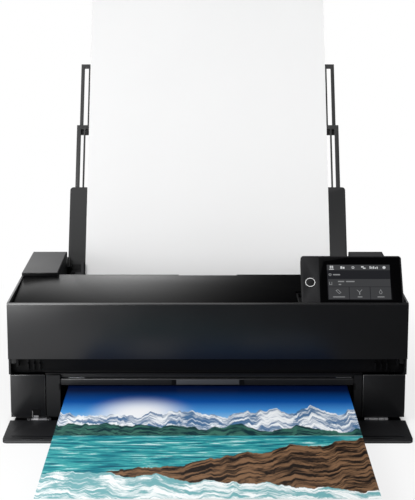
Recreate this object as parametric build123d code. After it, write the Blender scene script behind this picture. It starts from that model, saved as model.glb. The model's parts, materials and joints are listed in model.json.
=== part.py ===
from build123d import *
from math import cos, radians, sin
import os

os.makedirs("parts", exist_ok=True)

# Driving dimensions in millimetres and degrees.
# While drawing, y = 0 is the front fascia, +Y runs to the back and z = 0 is the table.
body_width = 615.0
body_depth = 362.0
rim_height = 192.5
foot_height = 8.0
foot_radius = 11.0
wall = 3.0
base_height = 78.0
lower_inset = 1.5
shut_gap = 0.5
slide_gap = 0.4
pin_gap = 0.05

# Sheet sizes and the level of the paper path.
media_width = 432.0
media_length = 559.0
sheet_thickness = 0.4
path_height = 57.6
paper_gap = 0.3
print_reach = 468.5
path_margin = 17.0

# Front: fascia that covers the inks, folding front cover, exit mouth.
fascia_bottom = 104.0
fascia_thickness = 5.0
fascia_bevel = 2.5
ink_hinge_y = 12.0
ink_hinge_z = 97.0
ink_pin_radius = 3.5
ink_knob_radius = 4.5
flap_thickness = 5.5
flap_gap = 1.0
flap_hinge = 5.0
flap_edge = 4.0
flap_notch_edge = 23.0
flap_pin_radius = 1.8
flap_knuckle_radius = 3.4
flap_knuckle_width = 6.0
flap_bracket_half = 12.0
flap_hinge_inset = 44.0
foot_inset = 36.0
foot_setback = 50.0
band_face = 18.0
band_bottom = 77.0
seam_left = 251.5
seam_right = 240.0
mouth_left = 228.0
mouth_right = 226.0
exit_bar_bottom = 60.3
exit_bar_top = 70.0
exit_lip_bottom = 71.5
exit_bar_face = 8.0
insert_width = 112.0

# Telescoping output tray.
tray_half = 60.0
tray_bottom = 32.0
tray_top = 44.0
tray_skin = 2.0
tray_length = 165.0
tray_travel = 135.0
tray_lip = 5.0

# Rear paper support, measured along its lean (u) and square to it (n) from the hinge.
lean = 29.15
support_setback = 12.0
support_z = 176.0
support_margin = 30.6
support_end_gap = 1.0
support_lug = 5.0
support_lug_front = 4.0
support_lug_rise = 14.0
support_boss = 8.0
support_front = -12.0
support_thickness = 10.0
support_bottom = 4.0
support_top = 150.0
support_skin = 1.2
support_pin_radius = 3.0
arm_clear = 0.3
arm_length = 140.0
arm_travel = 122.5
arm_pocket_in = -4.5
arm_pocket_out = 25.0
arm_cap = 8.0
arm_tie = 12.0
lower_bar_start = 14.5
lower_bar_end = 22.0
lower_strip_start = 6.2
lower_strip_end = 9.4
lower_cap_start = 1.0
upper_bar_start = 10.8
upper_bar_end = 17.2
upper_strip_start = -0.8
upper_strip_end = 3.4
upper_cap_start = -3.0
sheet_foot = -36.0

# Corner blocks beside the support.
block_front = 193.6
block_bottom = 160.0
block_top = 198.0

# Top cover and control panel.
cover_hinge_y = 189.0
cover_hinge_z = 190.0
cover_tail = 10.5
cover_heel = 1.0
cover_pin_radius = 2.0
cover_pin_end = 1.0
cover_drop = 9.0
finger_notch_half = 48.0
finger_notch_depth = 4.5
window_thickness = 2.5
cover_frame = 3.0
panel_width = 156.5
panel_margin = 3.5
panel_pivot_y = 12.0
panel_pivot_z = 187.5
panel_tilt = 50.0
panel_rise = 82.0
panel_foot = 1.5
panel_front = 5.0
panel_thickness = 12.0
panel_pin_radius = 2.0
button_inset = 13.9
button_rise = 35.7
button_radius = 8.0
button_travel = 0.8
glass_inset = 28.2
screen_inset = 40.5
screen_margin = 18.5
screen_bottom = 6.4
screen_top = 66.4

# Print mechanism.
frame_gap = 4.5
frame_plate = 2.0
frame_front = 86.0
frame_rear = 250.0
frame_top = 172.0
cross_plate_y = 187.0
cross_plate_bottom = 100.0
feed_y = 190.0
feed_radius = 10.0
feed_shaft = 5.0
eject_y = 60.0
eject_radius = 6.0
eject_shaft = 3.0
pinch_radius = 4.0
pinch_shaft = 2.0
carriage_width = 100.0
carriage_front = 92.0
carriage_depth = 74.0
carriage_bottom = 63.0
carriage_top = 164.0
carriage_end_gap = 2.0
head_overlap = 3.0
head_inset = 9.0
head_gap = 2.9
rail_depth = 8.0
rail_bottom = 112.0
rail_top = 150.0
belt_z = 140.0
belt_width = 6.0
belt_thickness = 1.5
belt_gap = 0.3
pulley_radius = 8.0
pulley_inset = 28.0
motor_radius = 17.0
motor_length = 34.0
motor_shaft = 2.5
feed_drive_room = 28.0
feed_motor_y = 226.0
feed_motor_z = 40.0
feed_pulley_radius = 14.0
motor_pulley_radius = 7.0
cartridge_count = 10
cartridge_width = 50.0
cartridge_depth = 64.0
cartridge_height = 56.0
cartridge_gap = 2.0
ink_bay_height = 62.0
tube_width = 14.0
tube_thickness = 3.0
pickup_radius = 11.0
pickup_rise = -33.0
pickup_shaft = 4.0
pickup_half = 30.0
guide_foot = -21.5
guide_head = 6.0
guide_thickness = 6.0
guide_flange = 16.0
guide_depth = 14.0
sleeve_pitch = 68.0
pinch_sleeve = 32.0
eject_sleeve = 24.0
chute_drop = 50.0
chute_run = 37.0
chute_setback = 13.0
chute_bend_rise = 22.4
chute_lead = 22.0
chute_dip = 1.6
chute_thickness = 2.5

# Electronics, sockets, screws and the maintenance box.
inlet_inset = 35.0
inlet_width = 28.0
inlet_height = 24.0
inlet_depth = 16.0
inlet_rim = 4.0
socket_level = 28.0
port_inset = 23.0
port_pitch = 30.0
port_width = 15.0
port_height = 14.0
port_rim = 2.0
board_gap = 6.0
board_thickness = 1.6
board_inset = 16.0
board_width = 230.0
board_bottom = 18.0
board_height = 90.0
post_radius = 3.0
post_inset = 8.0
post_pitch = 160.0
chip_height = 2.9
chip_large = 34.0
chip_middle = 24.0
chip_small = 18.0
chip_pitch = 48.0
supply_gap = 4.0
screw_head = 3.2
screw_shank = 1.5
screw_length = 4.0
screw_rim = 1.6
screw_inset = 86.0
screw_pitch = 100.0
screw_rise = 12.0
drawer_reach = 80.0
supply_reach = 70.0
drawer_skin = 2.0
drawer_end_gap = 0.2

# Places worked out from the sizes above.
half = body_width / 2
inner = half - wall
lower = half - lower_inset
floor_top = foot_height + wall
panel_face = flap_thickness + flap_gap
panel_back = panel_face + wall
channel_half = media_width / 2 + path_margin
frame_out = inner - frame_gap
frame_in = frame_out - frame_plate
bay_floor = fascia_bottom + 2.0
feed_z = path_height - paper_gap - feed_radius
eject_z = path_height - paper_gap - eject_radius
pinch_z = path_height + sheet_thickness + paper_gap + pinch_radius
rail_y = carriage_front + carriage_depth + 2.0
belt_y = rail_y + rail_depth + 3.0
rear_cut = channel_half + 14.0
rear_cut_height = block_bottom - 10.0
sheet_half = media_width / 2
support_half = sheet_half + support_margin
block_inner = support_half + support_end_gap
support_y = body_depth - support_setback
carriage_home = frame_in - carriage_end_gap - carriage_width / 2
pulley_x = frame_in - pulley_inset
board_face = body_depth - wall - board_gap
flap_hinge_x = lower - flap_hinge_inset
foot_x = lower - foot_inset
panel_right = inner - panel_margin
panel_left = panel_right - panel_width
button_x = panel_left + button_inset
glass_left = panel_left + glass_inset
screen_left = panel_left + screen_inset
screen_right = panel_right - screen_margin
feed_motor_length = frame_in - channel_half - wall - feed_drive_room

# Shapes by node name; a list is a group of separate solids in one node.
parts = {}


def block(x, y, z):
    """Box between two limits on each axis."""
    lows = [min(pair) for pair in (x, y, z)]
    highs = [max(pair) for pair in (x, y, z)]
    size = [high - low for low, high in zip(lows, highs)]
    middle = [(high + low) / 2 for low, high in zip(lows, highs)]
    return Pos(*middle) * Box(*size)


def rod_x(x, y, z, radius):
    """Round bar along X between two limits."""
    return Pos((x[0] + x[1]) / 2, y, z) * Rot(0, 90, 0) * Cylinder(radius, abs(x[1] - x[0]))


def rod_y(x, y, z, radius):
    """Round bar along Y between two limits."""
    return Pos(x, (y[0] + y[1]) / 2, z) * Rot(90, 0, 0) * Cylinder(radius, abs(y[1] - y[0]))


def rod_z(x, y, z, radius):
    """Round bar along Z between two limits."""
    return Pos(x, y, (z[0] + z[1]) / 2) * Cylinder(radius, abs(z[1] - z[0]))


def prism_x(points, x):
    """Outline in the YZ plane drawn out along X."""
    corners = [(x[0], y, z) for y, z in points]
    return extrude(make_face(Polyline(*corners, close=True)), amount=x[1] - x[0], dir=(1, 0, 0))


def both_sides(solid):
    """A solid together with its mirror image across the middle plane."""
    return solid + mirror(solid, about=Plane.YZ)


def leaned(solid):
    """Place a solid drawn in the support's own (X, u, n) axes."""
    normal = (0, -cos(radians(lean)), sin(radians(lean)))
    return Plane((0, support_y, support_z), x_dir=(1, 0, 0), z_dir=normal) * solid


def tilted(solid):
    """Place a solid drawn in the control panel's own (X, up, out) axes."""
    normal = (0, -sin(radians(panel_tilt)), cos(radians(panel_tilt)))
    return Plane((0, panel_pivot_y, panel_pivot_z), x_dir=(1, 0, 0), z_dir=normal) * solid


def belt_loop(plane, first, second, width):
    """Flat belt round two pulleys, each given as (place on the plane, radius)."""
    faces = []
    for extra in (belt_gap + belt_thickness, belt_gap):
        edges = []
        for place, radius in (first, second):
            edges += [CenterArc(place, radius + extra, 0, 180), CenterArc(place, radius + extra, 180, 180)]
        faces.append(make_hull(edges))
    return extrude(plane * (faces[0] - faces[1]), amount=width)


# Base tray: moulded pan with outer walls, inner path walls and rails for the output tray.
rail_out = tray_half + slide_gap + wall
base = block((-lower, lower), (panel_back, body_depth), (foot_height, floor_top))
for side in (-1, 1):
    base += block((side * (lower - wall), side * lower), (panel_back, body_depth), (floor_top, base_height))
    channel = (side * channel_half, side * (channel_half + wall))
    base += block(channel, (2 * panel_back, frame_front), (floor_top, base_height - 4))
    base += block(channel, (frame_front, feed_y - feed_shaft - 2), (floor_top, path_height - 2))
    base += block(channel, (feed_y + 2 * feed_radius, body_depth - 32), (floor_top, base_height - 4))
    base += block((side * (tray_half + slide_gap), side * rail_out), (panel_back, frame_front),
                  (floor_top, tray_top))
    base += block((side * (tray_half - 8), side * (tray_half + slide_gap)), (panel_back, frame_front),
                  (floor_top, tray_bottom - slide_gap))
base += block((-lower + wall, lower - wall), (body_depth - wall, body_depth), (floor_top, base_height))
base -= rod_x((-channel_half - wall, channel_half + wall), eject_y, eject_z, eject_shaft + pin_gap)

# Sockets and screws in the rear wall.
inlet_x = (-lower + inlet_inset - inlet_width / 2, -lower + inlet_inset + inlet_width / 2)
inlet_z = (socket_level, socket_level + inlet_height)
inlet = block(inlet_x, (body_depth - inlet_depth, body_depth), inlet_z)
inlet -= block((inlet_x[0] + inlet_rim, inlet_x[1] - inlet_rim), (body_depth - inlet_depth + 5, body_depth),
               (inlet_z[0] + inlet_rim, inlet_z[1] - inlet_rim))
for blade in (-1, 0, 1):
    blade_x = (inlet_x[0] + inlet_x[1]) / 2 + blade * 5.0
    inlet += block((blade_x - 1, blade_x + 1), (body_depth - inlet_depth + 5, body_depth - inlet_rim),
                   (inlet_z[0] + 9, inlet_z[1] - 9))
rear_wall = (body_depth - wall, body_depth)
base -= block(inlet_x, rear_wall, inlet_z)
ports = []
for number in range(2):
    right = lower - port_inset - number * port_pitch
    port_x = (right - port_width, right)
    port_z = (socket_level, socket_level + port_height)
    hollow = block((port_x[0] + port_rim, port_x[1] - port_rim), (board_face + 4, body_depth),
                   (port_z[0] + port_rim, port_z[1] - port_rim))
    ports.append(block(port_x, (board_face, body_depth), port_z) - hollow)
    base -= block(port_x, rear_wall, port_z)
screws = []
screw_holes = []
for side in (-1, 1):
    for inset in (screw_inset, screw_inset + screw_pitch):
        for screw_z in (base_height - screw_rise, base_height + screw_rise):
            screw_x = side * (lower - inset)
            shank = rod_y(screw_x, (body_depth - wall - screw_length, body_depth), screw_z, screw_shank)
            head = rod_y(screw_x, (body_depth, body_depth + screw_rim), screw_z, screw_head)
            drive = block((screw_x - 2, screw_x + 2), (body_depth + screw_rim / 2, body_depth + screw_rim),
                          (screw_z - 0.4, screw_z + 0.4))
            screws.append(shank + head - drive)
            screw_holes.append(rod_y(screw_x, rear_wall, screw_z, screw_shank))
for hole in screw_holes:
    base -= hole
parts["mains_inlet"] = inlet
parts["case_screws"] = screws
parts["base_tray"] = base

# Upper case: side walls that form the rim, and a rear wall that is cut low behind the hopper.
case_front = fascia_thickness + shut_gap
case = block((inner, half), (case_front, body_depth), (base_height, block_bottom))
case += block((inner, half), (case_front, block_front - shut_gap), (block_bottom, rim_height))
case = both_sides(case)
case += block((-inner, inner), rear_wall, (base_height, rear_cut_height))
for side in (-1, 1):
    case += block((side * rear_cut, side * inner), rear_wall, (rear_cut_height, block_bottom))
for hole in screw_holes:
    case -= hole
pin_reach = half - cover_pin_end
case -= rod_x((-pin_reach, pin_reach), cover_hinge_y, cover_hinge_z, cover_pin_radius + pin_gap)
parts["upper_case"] = case

# Corner blocks: caps on the rear corners, hollow underneath, bored for the support's hinge pins.
cap = block((block_inner, half), (block_front, body_depth), (block_bottom, block_top))
cap = fillet(cap.edges().group_by(Axis.Z)[-1], 2.0)
cap -= block((block_inner + wall, half - wall), (block_front + wall, body_depth - wall),
             (block_bottom, block_top - wall))
cap += block((block_inner, block_inner + support_boss), (support_y - support_boss, support_y + support_boss),
             (support_z - support_boss, support_z + support_boss))
cap -= rod_x((block_inner, block_inner + support_boss), support_y, support_z, support_pin_radius + pin_gap)
parts["corner_cover_right"] = cap
parts["corner_cover_left"] = mirror(cap, about=Plane.YZ)

# Rubber feet, one under each corner.
parts["feet"] = []
for side in (-1, 1):
    for foot_y in (panel_back + foot_setback, body_depth - foot_setback):
        parts["feet"].append(rod_z(side * foot_x, foot_y, (0, foot_height), foot_radius))

# Left front panel: a flat cover screwed to the base beside the mouth.
left_panel = block((-lower, -seam_left - shut_gap), (panel_face, panel_back), (foot_height + 1, band_bottom))
corner = left_panel.edges().filter_by(Axis.Y).sort_by(lambda edge: edge.center().X + edge.center().Z)[0]
parts["left_front_panel"] = fillet(corner, 9.0)

# Recessed front band with the posts beside the mouth and the bearings of the ink cover.
bearing = (inner - 12.5, inner - 9.0)
band = block((-inner, inner), (band_face, band_face + wall), (base_height, bay_floor))
band += block((-seam_left, seam_right), (panel_back, band_face), (band_bottom, band_bottom + 2))
band += block((-seam_left, -mouth_left), (panel_back, panel_back + wall), (foot_height + wall, band_bottom))
band += block((mouth_right, seam_right), (panel_back, panel_back + wall), (foot_height + wall, band_bottom))
for side in (-1, 1):
    band += block((side * bearing[0], side * bearing[1]), (panel_face, band_face),
                  (ink_hinge_z - 7, ink_hinge_z + 7))
    for rib in range(3):
        rib_x = side * (bearing[0] - 14 - 9 * rib)
        band += block((rib_x - 1, rib_x + 1), (band_face - 6, band_face), (band_bottom + 6, fascia_bottom - 4))
band -= rod_x((-inner, inner), ink_hinge_y, ink_hinge_z, ink_pin_radius + pin_gap)
parts["front_band"] = band

# Exit bar over the mouth: a slim bar, a dark gap and a lip, with a paler insert at the middle.
bar = block((-mouth_left, mouth_right), (exit_bar_face, exit_bar_face + 12), (exit_bar_bottom, exit_bar_top))
bar += block((-mouth_left, mouth_right), (exit_bar_face + 9, exit_bar_face + 12), (exit_bar_top, band_bottom))
bar += block((-mouth_left, mouth_right), (exit_bar_face + 4, exit_bar_face + 12),
             (exit_lip_bottom, band_bottom))
parts["exit_bar"] = bar
parts["exit_bar_insert"] = block((-insert_width / 2, insert_width / 2), (exit_bar_face - 0.8, exit_bar_face),
                                 (exit_bar_bottom + 0.6, exit_bar_top - 0.6))

# Ink cover: the whole upper fascia, hinged on two knobs just under its lower corners.
fascia = block((-half, half), (0, fascia_thickness), (fascia_bottom, rim_height))
top_front = fascia.edges().filter_by(Axis.X).sort_by(lambda edge: edge.center().Z - edge.center().Y)[-1]
fascia = chamfer(top_front, fascia_bevel)
knob = (bearing[1] + slide_gap, inner - slide_gap)
for side in (-1, 1):
    arm_x = (side * knob[0], side * knob[1])
    knob_y = (ink_hinge_y - ink_knob_radius, ink_hinge_y + ink_knob_radius)
    fascia += block(arm_x, (fascia_thickness, knob_y[1]), (fascia_bottom, fascia_bottom + 8))
    fascia += block(arm_x, knob_y, (ink_hinge_z, fascia_bottom))
    fascia += rod_x(arm_x, ink_hinge_y, ink_hinge_z, ink_knob_radius)
    fascia += rod_x((side * bearing[0], side * knob[1]), ink_hinge_y, ink_hinge_z, ink_pin_radius)
parts["ink_cover"] = fascia

# Top cover: a smoked window sheet on a frame, hinged in the side walls and notched for the panel.
cover_front = fascia_thickness + 2 * shut_gap
cover_rear = cover_hinge_y + cover_tail
cover_half = inner - shut_gap
cover_rear_top = rim_height + 0.5
notch_left = panel_left - 4.5
notch_rear = panel_pivot_y + panel_rise + 4.0


def cover_layer(above, below):
    """Sloping layer of the cover between two depths under its top surface."""
    front_z = rim_height - cover_drop
    outline = [(cover_front, front_z - above), (cover_rear, cover_rear_top - above),
               (cover_rear, cover_rear_top - below), (cover_front, front_z - below)]
    layer = prism_x(outline, (-cover_half, cover_half))
    layer -= block((notch_left, half), (0, notch_rear), (0, block_top))
    layer -= block((-finger_notch_half, finger_notch_half), (cover_rear - finger_notch_depth, body_depth),
                   (0, block_top))
    for side in (-1, 1):
        layer -= block((side * support_half, side * half), (cover_hinge_y + cover_heel, body_depth),
                       (0, block_top))
    return layer


cover = cover_layer(window_thickness, window_thickness + cover_frame)
cover -= block((-cover_half + 24, notch_left - 20), (cover_front + 24, cover_hinge_y - 24), (0, block_top))
cover -= block((notch_left, cover_half - 24), (notch_rear + 18, cover_hinge_y - 24), (0, block_top))
for side in (-1, 1):
    cover += rod_x((side * (cover_half - 8), side * (pin_reach - pin_gap)), cover_hinge_y, cover_hinge_z,
                   cover_pin_radius)
cover -= cover_layer(0, window_thickness)
parts["printer_cover"] = cover
parts["cover_window"] = cover_layer(0, window_thickness)

# Control panel: bay in the case, tilting housing, glass bezel, screen and push button.
bay_x = (notch_left + shut_gap, inner)
bay_z = panel_pivot_z - 8.0
bay = block(bay_x, (cover_front, notch_rear - shut_gap), (bay_z - wall, bay_z))
bay += block((bay_x[0], bay_x[0] + 2.5), (cover_front, notch_rear - shut_gap), (bay_z, bay_z + 6))
bay += block((inner - 2.5, inner), (cover_front, notch_rear - shut_gap), (bay_z, bay_z + 6))
bay += block(bay_x, (notch_rear - shut_gap - 2, notch_rear - shut_gap), (bay_z, bay_z + 6))
for ear_x in ((bay_x[0], bay_x[0] + 2.5), (inner - 2.5, inner)):
    bay += block(ear_x, (panel_pivot_y - 4, panel_pivot_y + 4), (bay_z, panel_pivot_z + 3.5))
bay -= rod_x(bay_x, panel_pivot_y, panel_pivot_z, panel_pin_radius + pin_gap)
parts["panel_bay"] = bay
glass_depth = 2.0
glass_layer = (panel_front - glass_depth, panel_front)
housing = block((panel_left, panel_right), (-panel_foot, panel_rise),
                (panel_front - panel_thickness, panel_front))
housing = fillet(housing.edges().filter_by(Axis.Z), 5.0)
glass = block((glass_left, panel_right - 2), (0.5, panel_rise - 2), glass_layer)
screen = block((screen_left, screen_right), (screen_bottom, screen_top), glass_layer)
well = Pos(button_x, button_rise, panel_front - 2) * Cylinder(button_radius + slide_gap, 4)
housing = housing - glass - well
housing += rod_x((bay_x[0] + 0.2, panel_left + 4), 0, 0, panel_pin_radius)
housing += rod_x((panel_right - 4, inner - 0.2), 0, 0, panel_pin_radius)
cap_height = 3.0
button = Pos(button_x, button_rise, panel_front + 0.4 - cap_height / 2) * Cylinder(button_radius, cap_height)
parts["panel_housing"] = tilted(housing)
parts["panel_glass"] = tilted(glass - screen)
parts["lcd_screen"] = tilted(screen)
parts["home_button"] = tilted(button)

# Front cover: folds down on to the table; a cut-out lets it close round the output tray.
flap_reach = fascia_bottom - 1.0 - flap_hinge
flap_x = half - shut_gap
flap = block((-flap_x, flap_x), (flap_hinge - flap_reach, flap_hinge - flap_edge), (0, flap_thickness))
outer_corners = flap.edges().filter_by(Axis.Z).group_by(Axis.Y)[0]
flap = fillet(outer_corners, 8.0)
flap -= block((-tray_half - 6, tray_half + 6), (flap_hinge - flap_reach, flap_hinge - flap_notch_edge),
              (0, flap_thickness))
brackets = []
reach = flap_bracket_half + slide_gap + flap_knuckle_width
for side in (-1, 1):
    middle = side * flap_hinge_x
    bracket_x = (middle - flap_bracket_half, middle + flap_bracket_half)
    pin_x = (middle - reach, middle + reach)
    for sign in (-1, 1):
        near = middle + sign * (flap_bracket_half + slide_gap)
        far = near + sign * flap_knuckle_width
        flap += rod_x(sorted((near, far)), flap_hinge, flap_hinge, flap_knuckle_radius)
        flap += block((near, far), (flap_hinge - flap_edge - 3, flap_hinge),
                      (flap_hinge - flap_knuckle_radius, flap_thickness))
    flap -= rod_x(pin_x, flap_hinge, flap_hinge, flap_pin_radius + pin_gap)
    bracket = block(bracket_x, (flap_hinge, panel_back + 14), (flap_hinge - 2, foot_height))
    bracket += rod_x(bracket_x, flap_hinge, flap_hinge, flap_knuckle_radius - 0.4)
    bracket += rod_x(pin_x, flap_hinge, flap_hinge, flap_pin_radius)
    brackets.append(bracket)
parts["front_cover"] = flap
parts["front_cover_hinges"] = brackets

# Output tray: three stages that nest in each other, shown drawn out under the print.
lip_top = path_height - paper_gap
stage_one = block((-tray_half, tray_half), (0, tray_length - 5), (tray_bottom, tray_top))
inside = tray_half - tray_skin
stage_one -= block((-inside, inside), (0, tray_length), (tray_bottom + tray_skin, tray_top - tray_skin))
stage_one -= block((-inside + 3, inside - 3), (0, tray_length), (tray_bottom + tray_skin, tray_top))
two_half = inside - slide_gap
two_bottom = tray_bottom + tray_skin + slide_gap
two_top = tray_top - tray_skin - slide_gap
two_skin = tray_skin * 0.75
stage_two = block((-two_half, two_half), (0, tray_length - 10), (two_bottom, two_top))
two_inside = two_half - two_skin
stage_two -= block((-two_inside, two_inside), (0, tray_length), (two_bottom + two_skin, two_top - two_skin))
stage_two -= block((-two_inside + 3, two_inside - 3), (0, tray_length), (two_bottom + two_skin, two_top))
three_half = two_inside - slide_gap
three_z = (two_bottom + two_skin + slide_gap, two_top - two_skin - slide_gap)
stage_three = block((-three_half, three_half), (-tray_lip, tray_length - 15), three_z)
stage_three += block((-three_half, three_half), (-tray_lip - 1, -1), (three_z[0], lip_top))
tray_home = panel_face + tray_lip + 2.0
for step, stage in enumerate((stage_one, stage_two, stage_three), 1):
    parts[f"tray_stage_{step}"] = Pos(0, tray_home - step * tray_travel, 0) * stage

# Paper support: folding panel with a pocket at each side for two telescoping arms.
support_back = support_front - support_thickness
pocket = (support_back + support_skin, support_front - support_skin)
panel = block((-support_half, support_half), (support_bottom, support_top), (support_back, support_front))
panel = fillet(panel.edges().filter_by(Axis.Z).group_by(Axis.Y)[-1], 6.0)
for side in (-1, 1):
    pocket_x = (side * (sheet_half + arm_pocket_in), side * (sheet_half + arm_pocket_out))
    panel -= block(pocket_x, (support_bottom + 4, support_top), pocket)
    panel += block((side * (support_half - support_lug), side * support_half),
                   (-support_lug_front, support_lug_rise), (support_front - 2, support_lug_front))
    pin_x = sorted((side * (support_half - support_lug), side * (block_inner + support_boss - 1)))
    panel += rod_x(pin_x, 0, 0, support_pin_radius)
parts["support_panel"] = leaned(panel)
arm_foot = support_bottom + 4 + arm_clear
layer = (pocket[1] - pocket[0]) / 2
lower_bars = (lower_bar_start, lower_bar_end, lower_strip_start, lower_strip_end, lower_cap_start)
upper_bars = (upper_bar_start, upper_bar_end, upper_strip_start, upper_strip_end, upper_cap_start)
for step, (stage, bars) in enumerate((("lower", lower_bars), ("upper", upper_bars)), 1):
    outer_in, outer_out, inner_in, inner_out, cap_in = [sheet_half + offset for offset in bars]
    back = pocket[1] - step * layer + arm_clear / 2
    depth = (back, back + layer - arm_clear)
    low = arm_foot + step * arm_travel
    high = low + arm_length
    arm = block((outer_in, outer_out), (low, high), depth) + block((inner_in, inner_out), (low, high), depth)
    arm += block((cap_in, outer_out), (high - arm_cap, high), depth)
    arm += block((inner_in, outer_out), (low, low + arm_tie), depth)
    parts[f"support_arm_{stage}_right"] = leaned(arm)
    parts[f"support_arm_{stage}_left"] = mirror(leaned(arm), about=Plane.YZ)

# The two sheets: a blank one on the support and a print coming out over the tray.
sheet_front = support_front + 0.2 + sheet_thickness
parts["blank_sheet"] = leaned(block((-sheet_half, sheet_half), (sheet_foot, sheet_foot + media_length),
                                    (sheet_front - sheet_thickness, sheet_front)))
parts["printed_sheet"] = block((-sheet_half, sheet_half), (-print_reach, media_length - print_reach),
                               (path_height, path_height + sheet_thickness))

# Rear feeder: slanted back plate with bearings, pickup roller and two edge guides.
pickup_n = sheet_front + paper_gap + pickup_radius
guide_in = sheet_half + slide_gap
ear_x = (channel_half + 3.4, channel_half + 6.0)
hopper = block((-ear_x[1], ear_x[1]), (sheet_foot - 8, -5), (support_front - 3, support_front))
for side in (-1, 1):
    hopper += block((side * ear_x[0], side * ear_x[1]), (sheet_foot - 4, -12),
                    (support_front - 3, pickup_n + 6))
hopper -= rod_x((-ear_x[1], ear_x[1]), pickup_rise, pickup_n, pickup_shaft + pin_gap)
shelf_z = support_z - 48.0
shelf = block((-channel_half, channel_half), (support_y - 10, body_depth - wall), (shelf_z, shelf_z + 5))
parts["hopper_back"] = leaned(hopper) + shelf
pickup = rod_x((-ear_x[1], ear_x[1]), pickup_rise, pickup_n, pickup_shaft)
pickup += rod_x((-pickup_half, pickup_half), pickup_rise, pickup_n, pickup_radius)
parts["pickup_roller"] = leaned(pickup)
guide_n = (support_front + slide_gap, support_front + guide_depth)
guide = block((guide_in, guide_in + guide_thickness), (guide_foot, guide_head), guide_n)
guide += block((guide_in, guide_in + guide_flange), (guide_foot, guide_foot + 8), guide_n)
parts["edge_guide_right"] = leaned(guide)
parts["edge_guide_left"] = mirror(leaned(guide), about=Plane.YZ)
chute_top = (support_y - chute_setback, support_z - chute_drop)
chute_bend = (chute_top[0] - chute_run, path_height + chute_bend_rise)
chute_end = (feed_y + chute_lead, path_height - chute_dip)
chute = [chute_top, chute_bend, chute_end, (chute_end[0], chute_end[1] - chute_thickness),
         (chute_bend[0] + 1.5, chute_bend[1] - chute_thickness), (chute_top[0] + 2.0, chute_top[1] - 1.0)]
parts["paper_guide"] = prism_x(chute, (-channel_half, channel_half))

# Steel frame, carriage rail, platen and the feed, pinch and eject rollers.
pinch_lug = (channel_half - 7, channel_half - 4)
frame = block((frame_in, frame_out), (frame_front, frame_rear), (floor_top, block_bottom - 2))
cross_plate = (cross_plate_y, cross_plate_y + frame_plate)
frame += block((frame_in, frame_out), (frame_front, cross_plate[1]), (block_bottom - 2, frame_top))
frame += block(pinch_lug, (feed_y - 6, feed_y + 6), (path_height + 1, cross_plate_bottom + 2))
frame = both_sides(frame)
frame += block((-frame_in, frame_in), cross_plate, (cross_plate_bottom, frame_top))
frame -= rod_x((-frame_out, frame_out), feed_y, feed_z, feed_shaft + pin_gap)
frame -= rod_x((-pinch_lug[1], pinch_lug[1]), feed_y, pinch_z, pinch_shaft + pin_gap)
for side in (-1, 1):
    frame -= rod_y(side * pulley_x, cross_plate, belt_z, motor_shaft + pin_gap)
parts["main_frame"] = frame
rail = block((-frame_in, frame_in), (rail_y, rail_y + rail_depth), (rail_bottom, rail_top))
rail -= block((-frame_in, frame_in), (rail_y + 2, rail_y + rail_depth), (rail_bottom + 6, rail_top - 6))
parts["carriage_rail"] = rail
platen = block((-channel_half, channel_half), (eject_y + 14, feed_y - 14), (tray_top + 3, path_height - 3))
for rib in range(-8, 9):
    rib_x = rib * (channel_half - 10) / 8
    platen += block((rib_x - 1, rib_x + 1), (eject_y + 16, feed_y - 16),
                    (path_height - 3, path_height - paper_gap))
parts["platen"] = platen
motor_face = -frame_in + feed_motor_length
pulley_in = (motor_face + 2, motor_face + 3 + belt_width)
feed = rod_x((-frame_out, frame_out), feed_y, feed_z, feed_shaft)
feed += rod_x((-channel_half + 8, channel_half - 8), feed_y, feed_z, feed_radius)
feed += rod_x(pulley_in, feed_y, feed_z, feed_pulley_radius)
parts["feed_roller"] = feed
pinch = rod_x((-pinch_lug[1], pinch_lug[1]), feed_y, pinch_z, pinch_shaft)
eject = rod_x((-channel_half - wall, channel_half + wall), eject_y, eject_z, eject_shaft)
for sleeve in range(-3, 4):
    sleeve_x = sleeve * sleeve_pitch
    pinch += rod_x((sleeve_x - pinch_sleeve / 2, sleeve_x + pinch_sleeve / 2), feed_y, pinch_z, pinch_radius)
    eject += rod_x((sleeve_x - eject_sleeve / 2, sleeve_x + eject_sleeve / 2), eject_y, eject_z, eject_radius)
parts["pinch_rollers"] = pinch
parts["eject_roller"] = eject

# Feed drive at the left: motor on the side plate, its pulley and a flat belt to the feed roller.
motor = rod_x((-frame_in, motor_face), feed_motor_y, feed_motor_z, motor_radius)
parts["feed_motor"] = motor + rod_x((-frame_in, pulley_in[1]), feed_motor_y, feed_motor_z, motor_shaft)
small = rod_x(pulley_in, feed_motor_y, feed_motor_z, motor_pulley_radius)
parts["motor_pulley"] = small - rod_x(pulley_in, feed_motor_y, feed_motor_z, motor_shaft + pin_gap)
side_plane = Plane((pulley_in[0] + 0.5, 0, 0), x_dir=(0, 1, 0), z_dir=(1, 0, 0))
parts["feed_belt"] = belt_loop(side_plane, ((feed_y, feed_z), feed_pulley_radius),
                               ((feed_motor_y, feed_motor_z), motor_pulley_radius), belt_width)

# Carriage drive: motor behind the cross plate, two pulleys and a long flat belt.
shaft_y = (belt_y, cross_plate[1])
carriage_motor = rod_y(pulley_x, (shaft_y[1], shaft_y[1] + motor_length), belt_z, motor_radius)
parts["carriage_motor"] = carriage_motor + rod_y(pulley_x, shaft_y, belt_z, motor_shaft)
wheel = rod_y(pulley_x, (belt_y, belt_y + belt_width), belt_z, pulley_radius)
parts["drive_pulley"] = wheel - rod_y(pulley_x, shaft_y, belt_z, motor_shaft + pin_gap)
idler = rod_y(-pulley_x, (belt_y, belt_y + belt_width), belt_z, pulley_radius)
parts["idler_pulley"] = idler + rod_y(-pulley_x, shaft_y, belt_z, motor_shaft)
belt_plane = Plane((0, belt_y, 0), x_dir=(-1, 0, 0), z_dir=(0, 1, 0))
parts["carriage_belt"] = belt_loop(belt_plane, ((-pulley_x, belt_z), pulley_radius),
                                   ((pulley_x, belt_z), pulley_radius), belt_width)

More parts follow.
